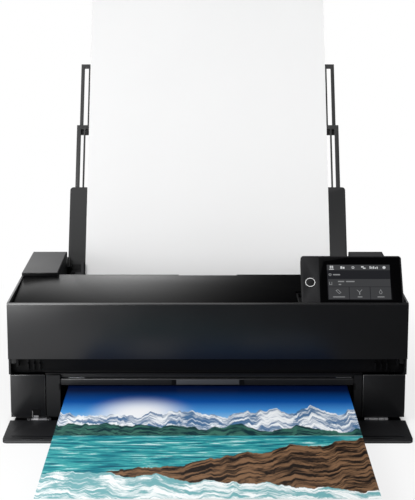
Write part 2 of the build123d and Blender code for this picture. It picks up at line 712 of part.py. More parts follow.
# Carriage with its print head, parked at the right over the capping station.
carriage_x = (carriage_home - carriage_width / 2, carriage_home + carriage_width / 2)
carriage_y = (carriage_front, carriage_front + carriage_depth)
carriage = block(carriage_x, carriage_y, (carriage_bottom, carriage_top))
carriage -= block((carriage_x[0] + 6, carriage_x[1] - 6), (carriage_y[0] + 6, carriage_y[1] - 16),
                  (carriage_bottom + 16, carriage_top))
hook_y = rail_y + rail_depth + slide_gap
carriage += block((carriage_x[0] + 14, carriage_x[1] - 14), (carriage_y[1] - 6, hook_y + 2),
                  (rail_top + slide_gap, rail_top + 8))
carriage += block((carriage_x[0] + 14, carriage_x[1] - 14), (hook_y, hook_y + 2), (belt_z, rail_top + 8))
parts["carriage"] = carriage
head_x = (channel_half + wall - head_overlap, frame_in - head_inset)
head_bottom = path_height + head_gap
parts["print_head"] = block(head_x, (carriage_y[0] + 12, carriage_y[1] - 10), (head_bottom, carriage_bottom))
cap_z = tray_top - 3
station = block((channel_half + wall, frame_in), (carriage_y[0] + 8, carriage_y[1] - 6), (cap_z, cap_z + 6))
station += block((head_x[0] + 4, head_x[1] + 1), (carriage_y[0] + 11, carriage_y[1] - 9),
                 (cap_z + 6, head_bottom - 0.6))
station -= block((head_x[0] + 8, head_x[1] - 3), (carriage_y[0] + 15, carriage_y[1] - 13),
                 (cap_z + 8, head_bottom))
parts["capping_station"] = station

# Ink supply: bay behind the fascia, cartridges side by side and the tube band to the carriage.
bay_rear = frame_front - 2.0
ink_bay = block((-inner, inner), (band_face + wall, bay_rear), (bay_floor, bay_floor + 2))
ink_bay += block((-inner, inner), (bay_rear - 2, bay_rear), (bay_floor + 2, bay_floor + ink_bay_height))
parts["ink_bay"] = ink_bay
pitch = cartridge_width + cartridge_gap
cartridge_rear = bay_rear - 2.0 - slide_gap
parts["ink_cartridges"] = []
for number in range(cartridge_count):
    left = (number - cartridge_count / 2) * pitch + cartridge_gap / 2
    tank = block((left, left + cartridge_width), (cartridge_rear - cartridge_depth, cartridge_rear),
                 (bay_floor + 2, bay_floor + 2 + cartridge_height))
    front_edges = tank.edges().filter_by(Axis.Z).group_by(Axis.Y)[0]
    tank = fillet(front_edges, 3.0)
    grip = block((left + 14, left + cartridge_width - 14), (0, cartridge_rear - cartridge_depth + 5),
                 (bay_floor + cartridge_height - 18, bay_floor + cartridge_height - 8))
    parts["ink_cartridges"].append(tank - grip)
tube_z = carriage_top + 0.3
tubes = block((0, carriage_home), (bay_rear, bay_rear + tube_width), (tube_z, tube_z + tube_thickness))
parts["ink_tubes"] = tubes + block((0, 12), (bay_rear, bay_rear + 6), (tube_z - tube_width, tube_z))

# Electronics: main board with its sockets on the rear wall, and the power supply at the left.
board_x = (lower - board_inset - board_width, lower - board_inset)
board_front = board_face - board_thickness
board = block(board_x, (board_front, board_face), (board_bottom, board_bottom + board_height))
for post_x in (board_x[0] + post_inset, board_x[0] + post_inset + post_pitch):
    for post_z in (board_bottom + post_inset, base_height - post_inset):
        board += rod_y(post_x, (board_face, body_depth - wall), post_z, post_radius)
chip_z = board_bottom + board_height / 2
for number, chip in enumerate((chip_large, chip_middle, chip_small), 1):
    chip_x = board_x[0] + number * chip_pitch
    board += block((chip_x - chip / 2, chip_x + chip / 2), (board_front - chip_height, board_front),
                   (chip_z - chip / 2, chip_z + chip / 2))
parts["main_board"] = [board] + ports
supply = block((-frame_in + 2, -channel_half - wall - supply_gap), (2 * panel_back, frame_front + supply_reach),
               (floor_top, path_height - 2))
parts["power_supply"] = fillet(supply.edges().filter_by(Axis.Z), 2.0)

# Maintenance box: an absorber tray behind the right front panel, drawn out to the front.
drawer_x = (seam_right + 1, frame_in - 1)
drawer_front = panel_back - drawer_end_gap
drawer_rear = frame_front + drawer_reach
drawer = block(drawer_x, (drawer_front, drawer_rear), (floor_top + slide_gap, tray_top - 5))
drawer -= block((drawer_x[0] + drawer_skin, drawer_x[1] - drawer_skin),
                (panel_back + drawer_skin, drawer_rear - drawer_skin), (floor_top + drawer_skin + 1, tray_top))
parts["maintenance_box"] = drawer
right_panel = block((seam_right + shut_gap, lower), (panel_face, drawer_front), (foot_height + 1, band_bottom))
corner = right_panel.edges().filter_by(Axis.Y).sort_by(lambda edge: edge.center().Z - edge.center().X)[0]
parts["right_front_panel"] = fillet(corner, 9.0)

# The finished frame stands on z = 0 with its origin under the middle of the whole outline.
solids = {name: shape if isinstance(shape, list) else [shape] for name, shape in parts.items()}
boxes = [solid.bounding_box() for group in solids.values() for solid in group]
middle_y = (min(box.min.Y for box in boxes) + max(box.max.Y for box in boxes)) / 2
for name, group in solids.items():
    placed = [Pos(0, -middle_y, 0) * solid for solid in group]
    export_step(placed[0] if len(placed) == 1 else Compound(children=placed), f"parts/{name}.step")
print(f"nodes {len(solids)}, origin moved back by {middle_y:.3f} mm")
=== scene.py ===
import json
from math import cos, pi, radians, sin

import bmesh
import bpy
from mathutils import Matrix, Vector

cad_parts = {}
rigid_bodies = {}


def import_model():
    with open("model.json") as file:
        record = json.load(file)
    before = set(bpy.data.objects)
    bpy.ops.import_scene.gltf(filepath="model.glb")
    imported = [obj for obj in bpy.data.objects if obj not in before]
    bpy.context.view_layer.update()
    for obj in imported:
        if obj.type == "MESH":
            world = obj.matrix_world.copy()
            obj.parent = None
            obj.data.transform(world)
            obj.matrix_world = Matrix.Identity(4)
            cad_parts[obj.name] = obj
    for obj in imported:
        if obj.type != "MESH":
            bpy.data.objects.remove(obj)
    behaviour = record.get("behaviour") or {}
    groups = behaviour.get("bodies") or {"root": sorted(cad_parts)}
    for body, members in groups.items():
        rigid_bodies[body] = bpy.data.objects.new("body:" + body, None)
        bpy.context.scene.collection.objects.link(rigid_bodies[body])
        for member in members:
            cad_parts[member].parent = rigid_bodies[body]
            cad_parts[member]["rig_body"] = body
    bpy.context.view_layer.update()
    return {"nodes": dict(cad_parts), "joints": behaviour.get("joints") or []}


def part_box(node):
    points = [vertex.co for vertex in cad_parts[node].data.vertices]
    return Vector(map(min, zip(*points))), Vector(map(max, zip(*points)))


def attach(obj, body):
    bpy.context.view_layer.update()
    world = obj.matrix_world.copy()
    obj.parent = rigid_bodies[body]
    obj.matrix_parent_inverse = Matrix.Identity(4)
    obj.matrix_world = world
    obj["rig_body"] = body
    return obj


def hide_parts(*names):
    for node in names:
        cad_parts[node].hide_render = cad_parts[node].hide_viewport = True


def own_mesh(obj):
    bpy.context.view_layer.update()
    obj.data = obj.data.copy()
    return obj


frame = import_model()

# Stage and camera. A pale studio floor under a white room, seen through a long lens a little above
# the printer. Gloss shows the white behind and to the left, which fades to the unlit right front;
# the floor keeps the printer's shadow close to it.
scene = bpy.context.scene
scene.view_settings.view_transform = "Standard"
front_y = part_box("ink_cover")[0].y
room_ambient = 0.52
unlit_side = 0.07
lit_way = (-1.0, 0.3, 0.45)
lit_turn = (0.33, 0.66)
lit_floor = (-0.95, 0.25, 0)
lit_reach = (0.8, 1.45)
floor_half = 6.0
floor_shadow = 0.25
shadow_middle = (0, -0.15, 0)
shadow_reach = (0.55, 1.1)
footprint_edge = 0.012
camera_distance = 2.24
camera_height = 0.73927
camera_pitch = radians(11.33)
camera_shift = (-0.0005, -0.0191)
frame_long_side = 500
focal_pixels = 1507.87
sensor_width = 36.0


def feed(tree, node, inputs):
    """Link or set inputs of a node."""
    for key, value in inputs.items():
        if isinstance(value, bpy.types.NodeSocket):
            tree.links.new(value, node.inputs[key])
        else:
            node.inputs[key].default_value = value


def add(tree, kind, inputs=None, **settings):
    """New node of the tree's family with its settings and its inputs."""
    made = tree.nodes.new(tree.bl_idname.removesuffix("Tree") + kind)
    for key, value in settings.items():
        setattr(made, key, value)
    feed(tree, made, inputs or {})
    return made


def maths(tree, operation, first, second=0.0, third=0.0, clamp=False):
    """Output of one math node."""
    made = add(tree, "Math", {0: first, 1: second, 2: third}, operation=operation, use_clamp=clamp)
    return made.outputs[0]


def vectors(tree, operation, first, second):
    """Output of one vector math node."""
    made = add(tree, "VectorMath", {0: first, "Scale" if operation == "SCALE" else 1: second},
               operation=operation)
    return made.outputs["Value" if operation in ("DOT_PRODUCT", "DISTANCE") else "Vector"]


def axes(tree, place):
    """The three parts of a place."""
    return add(tree, "SeparateXYZ", {0: place}).outputs


def fade(tree, value, start, end, low=0.0, high=1.0, ease="LINEAR"):
    """Change from one value to another over a stretch."""
    made = add(tree, "MapRange", {"Value": value, "From Min": start, "From Max": end, "To Min": low,
                                  "To Max": high}, interpolation_type=ease)
    return made.outputs["Result"]


def rays(tree):
    """Whether a ray comes from the camera, and whether it was mirrored or let through."""
    path = add(tree, "LightPath").outputs
    mirrored = maths(tree, "ADD", path["Is Glossy Ray"], path["Is Transmission Ray"], clamp=True)
    return path["Is Camera Ray"], mirrored


def seen_white(tree, lit_share, unseen):
    """White for the camera, the lit share of white for gloss and glass, and the rest for other rays."""
    seen, mirrored = rays(tree)
    shown = maths(tree, "MULTIPLY_ADD", mirrored, maths(tree, "SUBTRACT", lit_share, unseen), unseen)
    return maths(tree, "MAXIMUM", shown, seen)


def material(name):
    """New material with its node tree and its shader."""
    made = bpy.data.materials.new(name)
    made.use_nodes = True
    return made, made.node_tree, made.node_tree.nodes["Principled BSDF"]


def spot_on(tree):
    """Place on the piece, for its patterns."""
    return add(tree, "TexCoord").outputs["Object"]


world = bpy.data.worlds.new("white_room")
world.use_nodes = True
scene.world = world
tree = world.node_tree
towards_light = vectors(tree, "DOT_PRODUCT", add(tree, "TexCoord").outputs["Generated"], lit_way)
lit_share = fade(tree, towards_light, *lit_turn, unlit_side, 1.0, "SMOOTHSTEP")
feed(tree, tree.nodes["Background"], {"Color": (1, 1, 1, 1),
                                      "Strength": seen_white(tree, lit_share, room_ambient)})

floor_mesh = bpy.data.meshes.new("studio_floor")
corners = [(x * floor_half, y * floor_half, 0) for x, y in ((-1, -1), (1, -1), (1, 1), (-1, 1))]
floor_mesh.from_pydata(corners, [], [(0, 1, 2, 3)])
floor = bpy.data.objects.new("studio_floor", floor_mesh)
scene.collection.objects.link(floor)
paint, tree = material("floor_paint")[:2]
spot = spot_on(tree)
shade = add(tree, "BsdfDiffuse", {"Color": (0.92, 0.92, 0.92, 1)})
# For gloss the floor glows in a painted pool of light, full near lit_floor and fading to the unlit side; the
# camera sees it white.
lit_share = fade(tree, vectors(tree, "DISTANCE", spot, lit_floor), *lit_reach, 1.0, unlit_side, "SMOOTHSTEP")
glow = add(tree, "Emission", {"Color": (1, 1, 1, 1), "Strength": seen_white(tree, lit_share, 0.0)})
seen, mirrored = rays(tree)
base_low, base_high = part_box("base_tray")
base_middle = (base_low + base_high) / 2
away = axes(tree, vectors(tree, "SUBTRACT", spot, base_middle))
past = [maths(tree, "SUBTRACT", maths(tree, "ABSOLUTE", away[axis]), base_high[axis] - base_middle[axis])
        for axis in (0, 1)]
outside = fade(tree, maths(tree, "MAXIMUM", *past), -footprint_edge, footprint_edge, ease="SMOOTHSTEP")
bright = fade(tree, vectors(tree, "DISTANCE", spot, shadow_middle), *shadow_reach, 1.0 - floor_shadow, 1.0,
              "SMOOTHSTEP")
shown = maths(tree, "MULTIPLY", maths(tree, "MULTIPLY", seen, bright), outside)
surface = add(tree, "MixShader", {0: maths(tree, "MAXIMUM", mirrored, shown), 1: shade.outputs[0],
                                  2: glow.outputs[0]})
feed(tree, tree.nodes["Material Output"], {"Surface": surface.outputs[0]})
floor_mesh.materials.append(paint)


def softbox(name, place, target, size, power):
    """Studio light of a width and a height that looks at a point."""
    light = bpy.data.lights.new(name, "AREA")
    light.shape = "RECTANGLE"
    light.size, light.size_y = size
    light.energy = power
    holder = bpy.data.objects.new(name, light)
    holder.location = place
    holder.rotation_euler = (Vector(target) - Vector(place)).to_track_quat("-Z", "Y").to_euler()
    holder.visible_camera = False
    scene.collection.objects.link(holder)
    return holder


softbox("key_left", (-0.8, front_y - 1.25, 1.3), (-0.15, front_y, 0.18), (0.6, 0.6), 14.0)
softbox("low_left", (-0.95, front_y - 0.85, 0.24), (-0.28, front_y, 0.12), (0.55, 0.36), 5.2)
softbox("sky_top", (-0.3, 0.2, 2.4), (0, 0.1, 0.2), (1.8, 1.8), 12.0)

lens = bpy.data.cameras.new("front_camera")
lens.sensor_width = sensor_width
lens.lens = focal_pixels / frame_long_side * sensor_width
lens.shift_x, lens.shift_y = camera_shift
viewer = bpy.data.objects.new("front_camera", lens)
viewer.location = (0, front_y - camera_distance, camera_height)
viewer.rotation_euler = (pi / 2 - camera_pitch, 0, 0)
scene.collection.objects.link(viewer)
scene.camera = viewer

# Moulded shells of the body. The base pan and the upper case are black impact-resistant plastic from
# steel tools: a fine even grain, edges rounded by less than a millimetre, and a seam between the two.
crease = radians(38)
flat_turn = radians(1)
bevel_turn = radians(40)
weld_gap = 1e-6
face_depth = 0.0003
face_square = 0.9
coat_outputs = {"Color": (0, 0, 0, 1), "Roughness": 0.0, "Normal": (0, 0, 0)}


def effect(name, inputs, outputs):
    """Empty shader group with named sockets, whose kinds follow from the values given for them."""
    tree = bpy.data.node_groups.new(name, "ShaderNodeTree")
    kinds = {1: "NodeSocketFloat", 3: "NodeSocketVector", 4: "NodeSocketColor"}
    for way, sockets in (("INPUT", inputs), ("OUTPUT", outputs)):
        for label, value in sockets.items():
            kind = kinds[len(value) if isinstance(value, tuple) else 1]
            tree.interface.new_socket(label, in_out=way, socket_type=kind).default_value = value
    return tree, tree.nodes.new("NodeGroupInput").outputs, tree.nodes.new("NodeGroupOutput")


def noise(tree, place, scale, detail, rough=0.5, bend=0.0):
    """Cloudy pattern over a place."""
    return add(tree, "TexNoise", {"Vector": place, "Scale": scale, "Detail": detail, "Roughness": rough,
                                  "Distortion": bend}).outputs[0]


def swung(tree, pattern, amount, middle):
    """Value that swings about a middle with a pattern."""
    return maths(tree, "MULTIPLY_ADD", maths(tree, "SUBTRACT", pattern, 0.5), amount, middle)


tree, given, put = effect(
    "moulded_grain", {"Tint": (0.02, 0.02, 0.02, 1), "Roughness": 0.5, "Grain Scale": 1800.0,
                      "Grain Depth": 0.1, "Mottle": 0.12}, coat_outputs)
grain_group = tree
spot = spot_on(tree)
pebble = add(tree, "TexVoronoi", {"Vector": spot, "Scale": given["Grain Scale"]})
cloud = noise(tree, spot, 14.0, 4.0)
fleck = noise(tree, spot, given["Grain Scale"], 1.0)
lit = swung(tree, fleck, given["Mottle"], swung(tree, cloud, given["Mottle"], 1.0))
height = maths(tree, "ADD", pebble.outputs["Distance"], fleck)
dent = add(tree, "Bump", {"Strength": given["Grain Depth"], "Distance": 0.0004, "Height": height})
feed(tree, put, {"Color": vectors(tree, "SCALE", given["Tint"], lit), "Normal": dent.outputs[0],
                 "Roughness": swung(tree, cloud, 0.12, given["Roughness"])})


def surfaced(name, group, values, plain):
    """Material whose colour, roughness and normal come from a group, with plain values on other sockets."""
    made, tree, shader = material(name)
    coat = add(tree, "Group", values, node_tree=group).outputs
    feed(tree, shader, {"Base Color": coat["Color"], "Roughness": coat["Roughness"], "Normal": coat["Normal"],
                        **plain})
    return made


def moulded(name, tint, rough, specular=0.25, depth=0.1, scale=1800.0, mottle=0.12):
    """Plastic or rubber with a fine grain."""
    grain = {"Tint": (*tint, 1), "Roughness": rough, "Grain Scale": scale, "Grain Depth": depth,
             "Mottle": mottle}
    return surfaced(name, grain_group, grain, {"Specular IOR Level": specular})


def smoothed(mesh):
    """Shade a mesh smooth but for its sharp edges."""
    mesh.set_sharp_from_angle(angle=crease)
    mesh.polygons.foreach_set("use_smooth", [True] * len(mesh.polygons))


def settle(piece):
    """Turn a piece with modifiers into a plain mesh."""
    graph = bpy.context.evaluated_depsgraph_get()
    piece.data = bpy.data.meshes.new_from_object(piece.evaluated_get(graph))
    piece.modifiers.clear()
    smoothed(piece.data)


def placed(name, mesh):
    """New piece of a mesh in the scene."""
    piece = bpy.data.objects.new(name, mesh)
    scene.collection.objects.link(piece)
    return piece


def softened(node, finish, edge=0.0006, segments=2, rim=None):
    """Copy of a plain piece with rounded edges, in a finish of their own if given, which stands for it."""
    source = frame["nodes"][node]
    mesh = bpy.data.meshes.new(node + "_shell")
    build = bmesh.new()
    build.from_mesh(source.data)
    bmesh.ops.remove_doubles(build, verts=build.verts, dist=weld_gap)
    bmesh.ops.dissolve_limit(build, angle_limit=flat_turn, verts=build.verts, edges=build.edges)
    build.to_mesh(mesh)
    build.free()
    mesh.materials.append(finish)
    piece = placed(node + "_shell", mesh)
    rounding = piece.modifiers.new("edge", "BEVEL")
    rounding.width = edge
    rounding.segments = segments
    rounding.limit_method = "ANGLE"
    rounding.angle_limit = bevel_turn
    if rim:
        mesh.materials.append(rim)
        rounding.material = 1
    settle(piece)
    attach(piece, source["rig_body"])
    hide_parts(node)
    return piece


def faced(piece, way, finish):
    """Give the outermost faces that look one way a finish of their own."""
    way = Vector(way)
    mesh = piece.data
    mesh.materials.append(finish)
    reach = max(way.dot(corner.co) for corner in mesh.vertices) - face_depth
    for face in mesh.polygons:
        if way.dot(face.normal) > face_square and way.dot(face.center) > reach:
            face.material_index = len(mesh.materials) - 1


def dress(finish, *nodes):
    """Give plain pieces that keep their own shape their finish."""
    for node in nodes:
        mesh = frame["nodes"][node].data
        mesh.materials.clear()
        mesh.materials.append(finish)


case_black = moulded("case_black_grain", (0.007, 0.0072, 0.008), 0.36, specular=0.5)
# Rounded edges get a lighter, glossier coat: partly rubbed wear, partly a painted highlight.
edge_wear_and_highlight = moulded("edge_wear_and_highlight", (0.04, 0.0405, 0.042), 0.24, specular=0.9, depth=0.02)
softened("base_tray", case_black, 0.0008)
# The tops of the upper case's walls are painted pale grey: a painted highlight of their grazing gloss.
rim_painted_highlight = moulded("rim_painted_highlight", (0.17, 0.171, 0.174), 0.2, specular=0.8, depth=0.01, mottle=0.05)
faced(softened("upper_case", case_black, 0.0007, 3, edge_wear_and_highlight), (0, 0, 1), rim_painted_highlight)

# Louvres in the rear wall. Rows of short raised ribs over the power supply and the main board let warm
# air out; they are moulded with the wall, so they share its plastic.
louvre_size = (0.0042, 0.026, 0.0011, 0.00189)
louvre_pitch = 0.0095
louvre_rise = 0.04
louvre_count = 15
louvre_starts = {"left": -0.235, "right": 0.102}

plate_row = bpy.data.node_groups.new("plate_row", "GeometryNodeTree")
tree = plate_row
for kind, labels in (("Float", ("Width", "Height", "Thickness", "Corner")), ("Int", ("Count",)),
                     ("Vector", ("Start", "Step", "Turn")), ("Material", ("Finish",))):
    for label in labels:
        tree.interface.new_socket(label, in_out="INPUT", socket_type="NodeSocket" + kind)
tree.interface.new_socket("Geometry", in_out="OUTPUT", socket_type="NodeSocketGeometry")
size = tree.nodes.new("NodeGroupInput").outputs
outline = add(tree, "CurvePrimitiveQuadrilateral", {"Width": size["Width"], "Height": size["Height"]})
corner = add(tree, "FilletCurve", {"Curve": outline.outputs[0], "Radius": size["Corner"], "Count": 3},
             mode="POLY")
face = add(tree, "FillCurve", {"Curve": corner.outputs[0]}, mode="NGONS").outputs[0]
raised = add(tree, "ExtrudeMesh", {"Mesh": face, "Offset Scale": size["Thickness"]})
back = add(tree, "FlipFaces", {"Mesh": face})
closed = add(tree, "JoinGeometry", {"Geometry": raised.outputs["Mesh"]})
feed(tree, closed, {"Geometry": back.outputs[0]})
welded = add(tree, "MergeByDistance", {"Geometry": closed.outputs[0], "Distance": weld_gap})
line = add(tree, "MeshLine", {"Count": size["Count"], "Start Location": size["Start"],
                              "Offset": size["Step"]}, mode="OFFSET")
copies = add(tree, "InstanceOnPoints", {"Points": line.outputs[0], "Rotation": size["Turn"],
                                        "Instance": welded.outputs[0]})
solid = add(tree, "RealizeInstances", {"Geometry": copies.outputs[0]})
coated = add(tree, "SetMaterial", {"Geometry": solid.outputs[0], "Material": size["Finish"]})
feed(tree, tree.nodes.new("NodeGroupOutput"), {"Geometry": coated.outputs[0]})


def row_of_plates(name, body, finish, size, count, start, pitch, turn):
    """A row across of like plates, of a width, height, thickness and corner, as one mesh on a body."""
    piece = placed(name, bpy.data.meshes.new(name))
    row = piece.modifiers.new("row", "NODES")
    row.node_group = plate_row
    sockets = [item for item in plate_row.interface.items_tree if item.in_out == "INPUT"]
    for socket, value in zip(sockets, (*size, count, start, (pitch, 0, 0), turn, finish)):
        row[socket.identifier] = value
    settle(piece)
    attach(piece, body)


wall_low, wall_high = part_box("upper_case")
facing_back = (-pi / 2, 0, 0)
for side, first_x in louvre_starts.items():
    row_of_plates(f"rear_louvres_{side}", "case", case_black, louvre_size, louvre_count,
                  (first_x, wall_high.y, wall_low.z + louvre_rise), louvre_pitch, facing_back)

# Feet, inlet, sockets and screws. Four soft rubber pads carry the base; the mains inlet and the data
# sockets are set in the rear wall, and steel screws hold the two shells together there.
dress(moulded("soft_rubber", (0.016, 0.016, 0.017), 0.82, specular=0.15, depth=0.25, scale=900.0), "feet")
socket_black = moulded("socket_black", (0.008, 0.008, 0.0085), 0.42, specular=0.3, depth=0.05)
softened("mains_inlet", socket_black, 0.0004)

tree, given, put = effect(
    "brushed_streaks", {"Tint": (0.6, 0.6, 0.6, 1), "Roughness": 0.3, "Streak Scale": 60.0,
                        "Stretch": (0.03, 1, 1)}, coat_outputs)
streak_group = tree
drawn = vectors(tree, "MULTIPLY", spot_on(tree), given["Stretch"])
streak = noise(tree, drawn, given["Streak Scale"], 6.0, 0.7)
swing = maths(tree, "MULTIPLY_ADD", streak, 0.4, 0.8)
dent = add(tree, "Bump", {"Strength": 0.08, "Distance": 0.0003, "Height": streak})
feed(tree, put, {"Color": vectors(tree, "SCALE", given["Tint"], swing), "Normal": dent.outputs[0],
                 "Roughness": maths(tree, "MULTIPLY_ADD", streak, 0.25, given["Roughness"])})


def metal(name, tint, rough, scale=400.0, stretch=(0.03, 1, 1)):
    """Drawn or rolled metal with fine streaks along X unless told otherwise."""
    streaks = {"Tint": (*tint, 1), "Roughness": rough, "Streak Scale": scale, "Stretch": stretch}
    return surfaced(name, streak_group, streaks, {"Metallic": 1.0})


zinc = metal("zinc_steel", (0.52, 0.53, 0.55), 0.34)
ground_steel = metal("ground_steel", (0.66, 0.67, 0.68), 0.16, scale=700.0)
dress(metal("screw_steel", (0.3, 0.3, 0.31), 0.3), "case_screws")

# Print mechanism. A folded zinc-coated frame carries the rail, the rollers on ground shafts, two small
# motors with flat toothed belts, and the moulded carriage with its head over the ribbed platen.
softened("main_frame", zinc, 0.0003, 1)
softened("carriage_rail", metal("rail_steel", (0.58, 0.59, 0.6), 0.22), 0.0003, 1)
dress(ground_steel, "pinch_rollers", "eject_roller", "feed_roller", "idler_pulley", "drive_pulley",
      "motor_pulley")
dress(metal("motor_can", (0.4, 0.41, 0.42), 0.3, stretch=(1, 1, 0.05)), "feed_motor", "carriage_motor")
dress(moulded("belt_rubber", (0.012, 0.012, 0.012), 0.7, specular=0.2, depth=0.3, scale=700.0),
      "feed_belt", "carriage_belt")
dress(moulded("roller_rubber", (0.03, 0.03, 0.032), 0.75, depth=0.4, scale=600.0), "pickup_roller")
works_black = moulded("works_black", (0.011, 0.011, 0.012), 0.6, specular=0.2)
for node in ("platen", "capping_station", "hopper_back", "paper_guide", "ink_bay"):
    softened(node, works_black, 0.0004, 1)
softened("carriage", moulded("carriage_black", (0.014, 0.014, 0.015), 0.45), 0.0009)
softened("print_head", metal("head_plate", (0.55, 0.5, 0.4), 0.25), 0.0005)
guide_plastic = moulded("guide_plastic", (0.02, 0.02, 0.022), 0.5)
for side in ("left", "right"):
    softened(f"edge_guide_{side}", guide_plastic, 0.0008)
softened("maintenance_box", moulded("absorber_tray", (0.05, 0.05, 0.053), 0.55))
softened("power_supply", zinc, 0.0008)

# Main board. Green solder mask over copper tracks, with chips soldered on; the two data sockets in the rear
# wall have shells of tinned steel with a black tongue each, and the mains inlet has three brass blades.
port_reach = 0.054
port_depth = 0.005
port_top = 0.026
tongue_offset = (-0.0445, 0.017)
tongue_size = (0.0086, 0.003, 0.0044, 0.0004)
tongue_pitch = 0.03
blade_size = (0.0023, 0.0063, 0.0072, 0.0003)
blade_pitch = 0.005
blade_depth = 0.005


def mixed(tree, factor, first, second):
    """Mix of two colours."""
    return add(tree, "Mix", {0: factor, 6: first, 7: second}, data_type="RGBA").outputs[2]


solder_mask, tree, shader = material("solder_mask")
spot = spot_on(tree)
stood_up = add(tree, "Mapping", {"Vector": spot, "Rotation": (pi / 2, 0, 0)}).outputs[0]
track = add(tree, "TexBrick", {
    "Vector": stood_up, "Scale": 140.0, "Mortar Size": 0.03, "Color1": (0.01, 0.055, 0.026, 1),
    "Color2": (0.008, 0.045, 0.021, 1), "Mortar": (0.03, 0.12, 0.05, 1)})
board_low, board_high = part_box("main_board")
behind = axes(tree, spot)
beside = maths(tree, "GREATER_THAN", behind[0], board_high.x - port_reach)
shell = maths(tree, "MULTIPLY", maths(tree, "GREATER_THAN", behind[1], board_low.y + port_depth), beside)
shell = maths(tree, "MULTIPLY", shell, maths(tree, "LESS_THAN", behind[2], board_low.z + port_top))
feed(tree, shader, {"Base Color": mixed(tree, shell, track.outputs["Color"], (0.5, 0.51, 0.52, 1)),
                    "Metallic": shell, "Roughness": 0.35})
dress(solder_mask, "main_board")
tongue_start = (board_high.x + tongue_offset[0], board_high.y - port_depth, board_low.z + tongue_offset[1])
row_of_plates("port_tongues", "case", socket_black, tongue_size, 2, tongue_start, tongue_pitch,
              facing_back)
inlet_low, inlet_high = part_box("mains_inlet")
inlet_middle = (inlet_low + inlet_high) / 2
blade_start = (inlet_middle.x - blade_pitch, inlet_low.y + blade_depth, inlet_middle.z)
brass = metal("blade_brass", (0.62, 0.5, 0.26), 0.28)
row_of_plates("inlet_blades", "case", brass, blade_size, 3, blade_start, blade_pitch,
              facing_back)

# Ink supply. Ten slim black cartridges stand in a row behind the fascia; each has a plain colour patch
# on its front, and a flat band of clear tubes leads to the carriage.
tank_count = 10
tank_gap = 0.002
patch_size = (0.03, 0.016, 0.0003, 0.002)
patch_rise = 0.016
patch_colours = ((0.02, 0.02, 0.02), (0.16, 0.16, 0.17), (0.0, 0.25, 0.6), (0.55, 0.01, 0.18),
                 (0.85, 0.62, 0.0), (0.3, 0.6, 0.85), (0.85, 0.35, 0.5), (0.38, 0.38, 0.4),
                 (0.28, 0.06, 0.42), (0.62, 0.62, 0.64))


def ramp(tree, value, stops, change="LINEAR"):
    """Colours at stops along a value."""
    made = add(tree, "ValToRGB", {"Fac": value})
    made.color_ramp.interpolation = change
    marks = made.color_ramp.elements
    marks.remove(marks[-1])
    for number, (position, colour) in enumerate(stops):
        mark = marks.new(position) if number else marks[0]
        mark.position = position
        mark.color = (*colour, 1)
    return made.outputs["Color"]


tank_black = moulded("cartridge_black", (0.015, 0.015, 0.016), 0.4, specular=0.35, depth=0.05)
softened("ink_cartridges", tank_black, 0.0008)
tube_clear, tree, shader = material("tube_band")
lane = add(tree, "TexWave", {"Vector": spot_on(tree), "Scale": 110.0}, bands_direction="Y")
hue = mixed(tree, lane.outputs["Fac"], (0.3, 0.31, 0.32, 1), (0.04, 0.04, 0.05, 1))
feed(tree, shader, {"Base Color": hue, "Roughness": 0.25})
softened("ink_tubes", tube_clear, 0.0005)
tank_low, tank_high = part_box("ink_cartridges")
tank_pitch = (tank_high.x - tank_low.x + tank_gap) / tank_count
row_start = tank_low.x - tank_gap / 2
patch, tree, shader = material("colour_patch")
share = fade(tree, axes(tree, spot_on(tree))[0], row_start, row_start + tank_count * tank_pitch)
stops = [(number / tank_count, colour) for number, colour in enumerate(patch_colours)]
feed(tree, shader, {"Base Color": ramp(tree, share, stops, "CONSTANT"), "Roughness": 0.45})
patch_start = (row_start + tank_pitch / 2, tank_low.y + 0.0001, tank_low.z + patch_rise)
row_of_plates("cartridge_patches", "case", patch, patch_size, tank_count, patch_start, tank_pitch,
              (pi / 2, 0, 0))

# Lower front. A recessed band hides the works under the fascia, in a black darker than the panels' that is
# painted shade; two flat panels close the corners, and a slim bar bridges the mouth over the print; its paler
# insert has a black plate at each end, painted shade that stands for a slit.
slit_width = 0.0072
slit_edge = 0.0002
panel_black = moulded("panel_black_grain", (0.0065, 0.0067, 0.0078), 0.42, specular=0.4)
for side in ("left", "right"):
    softened(f"{side}_front_panel", panel_black, 0.0008, 2, edge_wear_and_highlight)
# Black darker than the panels' plastic: painted shade on the band under the fascia, and the black of the
# painted shade plates below.
black_and_painted_shade = moulded("black_and_painted_shade", (0.003, 0.003, 0.0036), 0.5, specular=0.15)
softened("front_band", black_and_painted_shade, 0.0005)
bar_black = moulded("exit_bar_black", (0.012, 0.012, 0.013), 0.42, specular=0.3)
softened("exit_bar", bar_black, 0.0009, 2, edge_wear_and_highlight)
softened("exit_bar_insert", moulded("insert_grey", (0.062, 0.064, 0.07), 0.4, specular=0.35), 0.0003)


def loop(build, outline, level, place):
    """Corners of a flat outline at a height."""
    return [build.verts.new(place @ Vector((x, y, level))) for x, y in outline]


def skin(build, *loops):
    """Faces between loops of corners that follow each other."""
    for first, second in zip(loops, loops[1:]):
        for here in range(len(first)):
            build.faces.new((first[here - 1], first[here], second[here], second[here - 1]))


def prism(build, outline, low, high, place=Matrix()):
    """Closed solid between two heights over a flat outline given anticlockwise."""
    bottom, top = loop(build, outline, low, place), loop(build, outline, high, place)
    build.faces.new(bottom[::-1])
    build.faces.new(top)
    skin(build, bottom, top)


def rounded(x, y, corner, steps=4):
    """Outline of a rectangle between limits, with round corners."""
    left, right, low, high = x[0] + corner, x[1] - corner, y[0] + corner, y[1] - corner
    points = []
    for turn, (cx, cy) in enumerate(((right, high), (left, high), (left, low), (right, low))):
        for step in range(steps + 1):
            angle = (turn + step / steps) * pi / 2
            points.append((cx + corner * cos(angle), cy + corner * sin(angle)))
    return points


